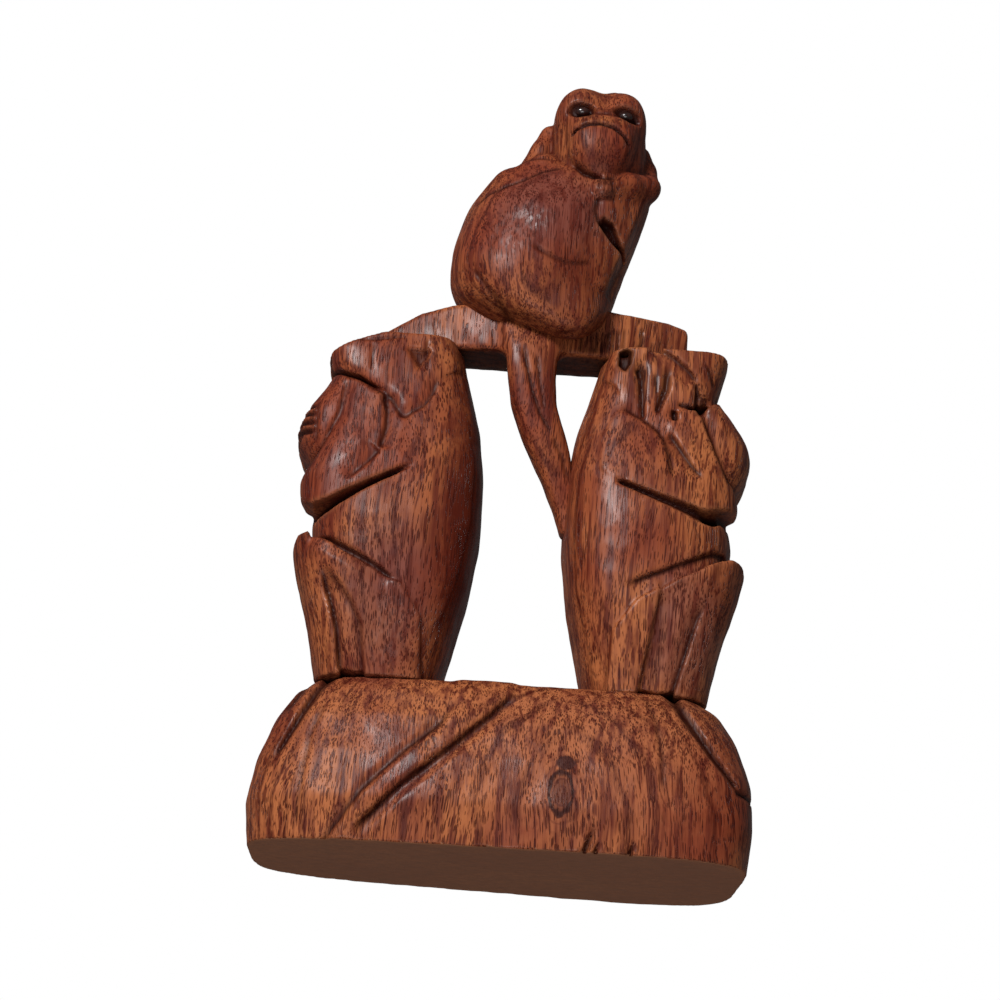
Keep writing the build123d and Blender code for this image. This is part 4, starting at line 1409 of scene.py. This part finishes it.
# %% Bare sawn underside and stained eyes
def bare_sawn_hardwood():
    material, tree, shader = new_finish("bare sawn hardwood")
    add = partial(add_node, tree)
    mm = in_millimetres(add)
    colour, fibre, pore, _, _ = wood_colour(add, mm)
    saw_space = add(VECTOR, (mm, (0.25, 2.2, 1)), operation="MULTIPLY")
    saw = add(RANGE, (add(NOISE, {"Vector": saw_space, "Scale": 1.0}), 0.35, 0.7, 0.0, 0.3), **SMOOTH)
    for share, shade in ((0.75, "#ab7150"), (saw, "#6c4532")):
        colour = add(MIX, {SHARE: share, UNDER: colour, OVER: linear(shade)}, MIXED, data_type="RGBA")
    relief = wood_relief(add, fibre, pore, 0.5, 0.1)
    set_inputs(tree, shader, {"Base Color": colour, "Roughness": 0.85,
                              "Normal": relief, "Coat Normal": relief})
    return material


def black_stained_eye():
    material, tree, shader = new_finish("black stained eye")
    add = partial(add_node, tree)
    place = add("ShaderNodeTexCoord", (), "Object")
    speck = add(RANGE, (add(NOISE, {"Vector": place, "Scale": 900.0}), 0.4, 0.7, 0.0, 1.0), **SMOOTH)
    tones = {SHARE: speck, UNDER: linear("#1c0c0a"), OVER: linear("#3a1c17")}
    colour = add(MIX, tones, MIXED, data_type="RGBA")
    set_inputs(tree, shader, {"Base Color": colour, "Roughness": 0.3,
                              "Coat Weight": 0.6, "Coat Roughness": 0.12})
    return material


BARE = bare_sawn_hardwood()
EYE = black_stained_eye()
print("made", BARE.name, "and", EYE.name)


# %% [markdown]
# ## Put the pieces on the frame
# Every carved piece stands for the solids it was carved from, and rides on the one body. The log has two
# finishes: the faces that look down at floor height are bare.

# %% Dress the frame
UNDERSIDE_HEIGHT = 0.6 * MM
DOWNWARD = -0.6


def bare_underside(piece):
    """Gives the bare finish to the faces at floor height that look down."""
    piece.data.materials.append(BARE)
    polygons = piece.data.polygons
    centres = np.empty(len(polygons) * 3)
    normals = np.empty(len(polygons) * 3)
    polygons.foreach_get("center", centres)
    polygons.foreach_get("normal", normals)
    under = (centres[2::3] < UNDERSIDE_HEIGHT) & (normals[2::3] < DOWNWARD)
    polygons.foreach_set("material_index", under.astype(np.int32))


NODES = list(frame["nodes"])
groups = {
    "left": [n for n in NODES if n.startswith("left_monkey") and not n.endswith(("tail", "foot"))],
    "right": [n for n in NODES if n.startswith("right_monkey") and not n.endswith("foot")],
    "log": [n for n in NODES if n == "half_log_base" or n.endswith("foot") or n == "left_monkey_tail"],
    "perch": ["perch", "top_monkey_tail"],
    "sitter": [n for n in NODES if n.startswith("top_monkey") and not n.endswith(("tail", "eye"))],
}
pieces = {"left": left_piece, "right": right_piece, "log": log_piece,
          "perch": perch_piece, "sitter": sitter_piece}
for key, piece in pieces.items():
    worked_over(piece, MARKS, VARNISHED)
    if key == "log":
        bare_underside(piece)
    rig.ride(piece, "root")
    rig.replaces(piece, *groups[key])
    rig.slot(piece, "varnished_hardwood")
for node, piece in eye_pieces.items():
    worked_over(piece, MARKS, EYE)
    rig.ride(piece, "root")
    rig.replaces(piece, node)
    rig.slot(piece, "eye_stain")
print("dressed", len(NODES), "solids")


# %% [markdown]
# ## Studio
# The photograph looks up at the ornament from 21 degrees below, against white. So the floor is seen only
# from above and lets light through to the underside, and the world is white for the camera and dim for
# everything else. A key light stands at the upper left, a low one lights the undersides, and one behind,
# kept out of reflections, draws the top edges.

# %% World and floor
FILL_STRENGTH = 0.12
FLOOR_HALF, FLOOR_DROP = 0.9, -0.4 * MM
WHITE = (1.0, 1.0, 1.0, 1.0)


def white_world():
    world = bpy.data.worlds.new("studio")
    bpy.context.scene.world = world
    world.use_nodes = True
    tree = world.node_tree
    add = partial(add_node, tree)
    fill = tree.nodes["Background"]
    set_inputs(tree, fill, {"Color": WHITE, "Strength": FILL_STRENGTH})
    shown = add("ShaderNodeBackground", {"Color": WHITE, "Strength": 1.0})
    seen = add("ShaderNodeLightPath", (), "Is Camera Ray")
    both = add("ShaderNodeMixShader", (seen, fill.outputs[0], shown))
    tree.links.new(both, tree.nodes["World Output"].inputs[0])


def pale_floor():
    mesh = bpy.data.meshes.new("floor")
    corners = [(x, y, FLOOR_DROP) for x, y in ((-1, -1), (1, -1), (1, 1), (-1, 1))]
    corners = [(x * FLOOR_HALF, y * FLOOR_HALF, z) for x, y, z in corners]
    mesh.from_pydata(corners, [], [(0, 1, 2, 3)])
    floor = bpy.data.objects.new("floor", mesh)
    bpy.context.collection.objects.link(floor)
    material, tree, shader = new_finish("pale floor")
    add = partial(add_node, tree)
    set_inputs(tree, shader, {"Base Color": linear("#f4f4f2"), "Roughness": 0.9})
    by_camera = add("ShaderNodeLightPath", (), "Is Camera Ray")
    from_below = add("ShaderNodeNewGeometry", (), "Backfacing")
    from_above = add(MATH, (1.0, from_below), operation="SUBTRACT")
    seen = add(MATH, (by_camera, from_above), operation="MULTIPLY")
    clear = add("ShaderNodeBsdfTransparent")
    choice = add("ShaderNodeMixShader", (seen, clear, shader.outputs[0]))
    tree.links.new(choice, tree.nodes["Material Output"].inputs[0])
    mesh.materials.append(material)
    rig.stage(floor)


white_world()
pale_floor()
print("floor", 2 * FLOOR_HALF, "m wide, fill light", FILL_STRENGTH)

# %% Lamps
LAMPS = {
    "key": ((-0.5, -1.0, 0.66), 0.11, 0.3, 15.0),
    "low": ((-0.1, -0.85, -0.45), 0.11, 0.5, 2.6),
    "back": ((-0.3, 0.9, 0.6), 0.12, 0.6, 7.0),
}


def lamp(name, place, aim_height, size, watts):
    light = bpy.data.lights.new(name, "AREA")
    light.shape = "DISK"
    light.size = size
    light.energy = watts
    item = bpy.data.objects.new(name, light)
    bpy.context.collection.objects.link(item)
    item.location = place
    item.rotation_euler = (Vector((0, 0, aim_height)) - Vector(place)).to_track_quat("-Z", "Y").to_euler()
    return item


lamps = {name: lamp(name, *values) for name, values in LAMPS.items()}
lamps["back"].visible_glossy = False
print("lamps", {name: item.data.energy for name, item in lamps.items()})


# %% [markdown]
# ## Camera
# The photograph's camera was found from the ornament's own outline: it looks up by 21 degrees and is
# rolled by 3.9 degrees. It stands back from a point in the middle of the frame, and its lens follows
# from the size of the ornament in the picture.

# %% Camera
LOOK_UP, ROLL = math.radians(21.0), math.radians(3.9)
AIM = Vector((-4.49, 0, 93.23)) * MM
DISTANCE = 0.5152
SENSOR = 36.0
PICTURE_WIDTH, FOCAL_PIXELS = 1000.0, 2053.4


def set_camera():
    ahead = Vector((0, math.cos(LOOK_UP), math.sin(LOOK_UP)))
    right = Vector((1, 0, 0))
    up = Vector((0, -math.sin(LOOK_UP), math.cos(LOOK_UP)))
    rolled_right = right * math.cos(ROLL) + up * math.sin(ROLL)
    rolled_up = up * math.cos(ROLL) - right * math.sin(ROLL)
    data = bpy.data.cameras.new("photo camera")
    data.sensor_width = SENSOR
    data.lens = SENSOR * FOCAL_PIXELS / PICTURE_WIDTH
    data.clip_start = 0.01
    data.clip_end = 10.0
    camera = bpy.data.objects.new("photo camera", data)
    bpy.context.collection.objects.link(camera)
    turn = Matrix((rolled_right, rolled_up, -ahead)).transposed().to_4x4()
    camera.matrix_world = Matrix.Translation(AIM - ahead * DISTANCE) @ turn
    bpy.context.scene.camera = camera
    return data


photo_camera = set_camera()
bpy.context.scene.view_settings.view_transform = "Standard"
print("lens", round(photo_camera.lens, 2), "mm")


# %% [markdown]
# ## Sizes and finish
# The box of the solids and of the finished scene are written down, so that the two can be compared.

# %% Finish
with open("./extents.json", "w") as record:
    json.dump({"cad_box": [list(map(float, corner)) for corner in CAD_BOX],
               "visual_box": [list(map(float, corner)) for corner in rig.bounds()]}, record)
print("sizes written to", record.name)
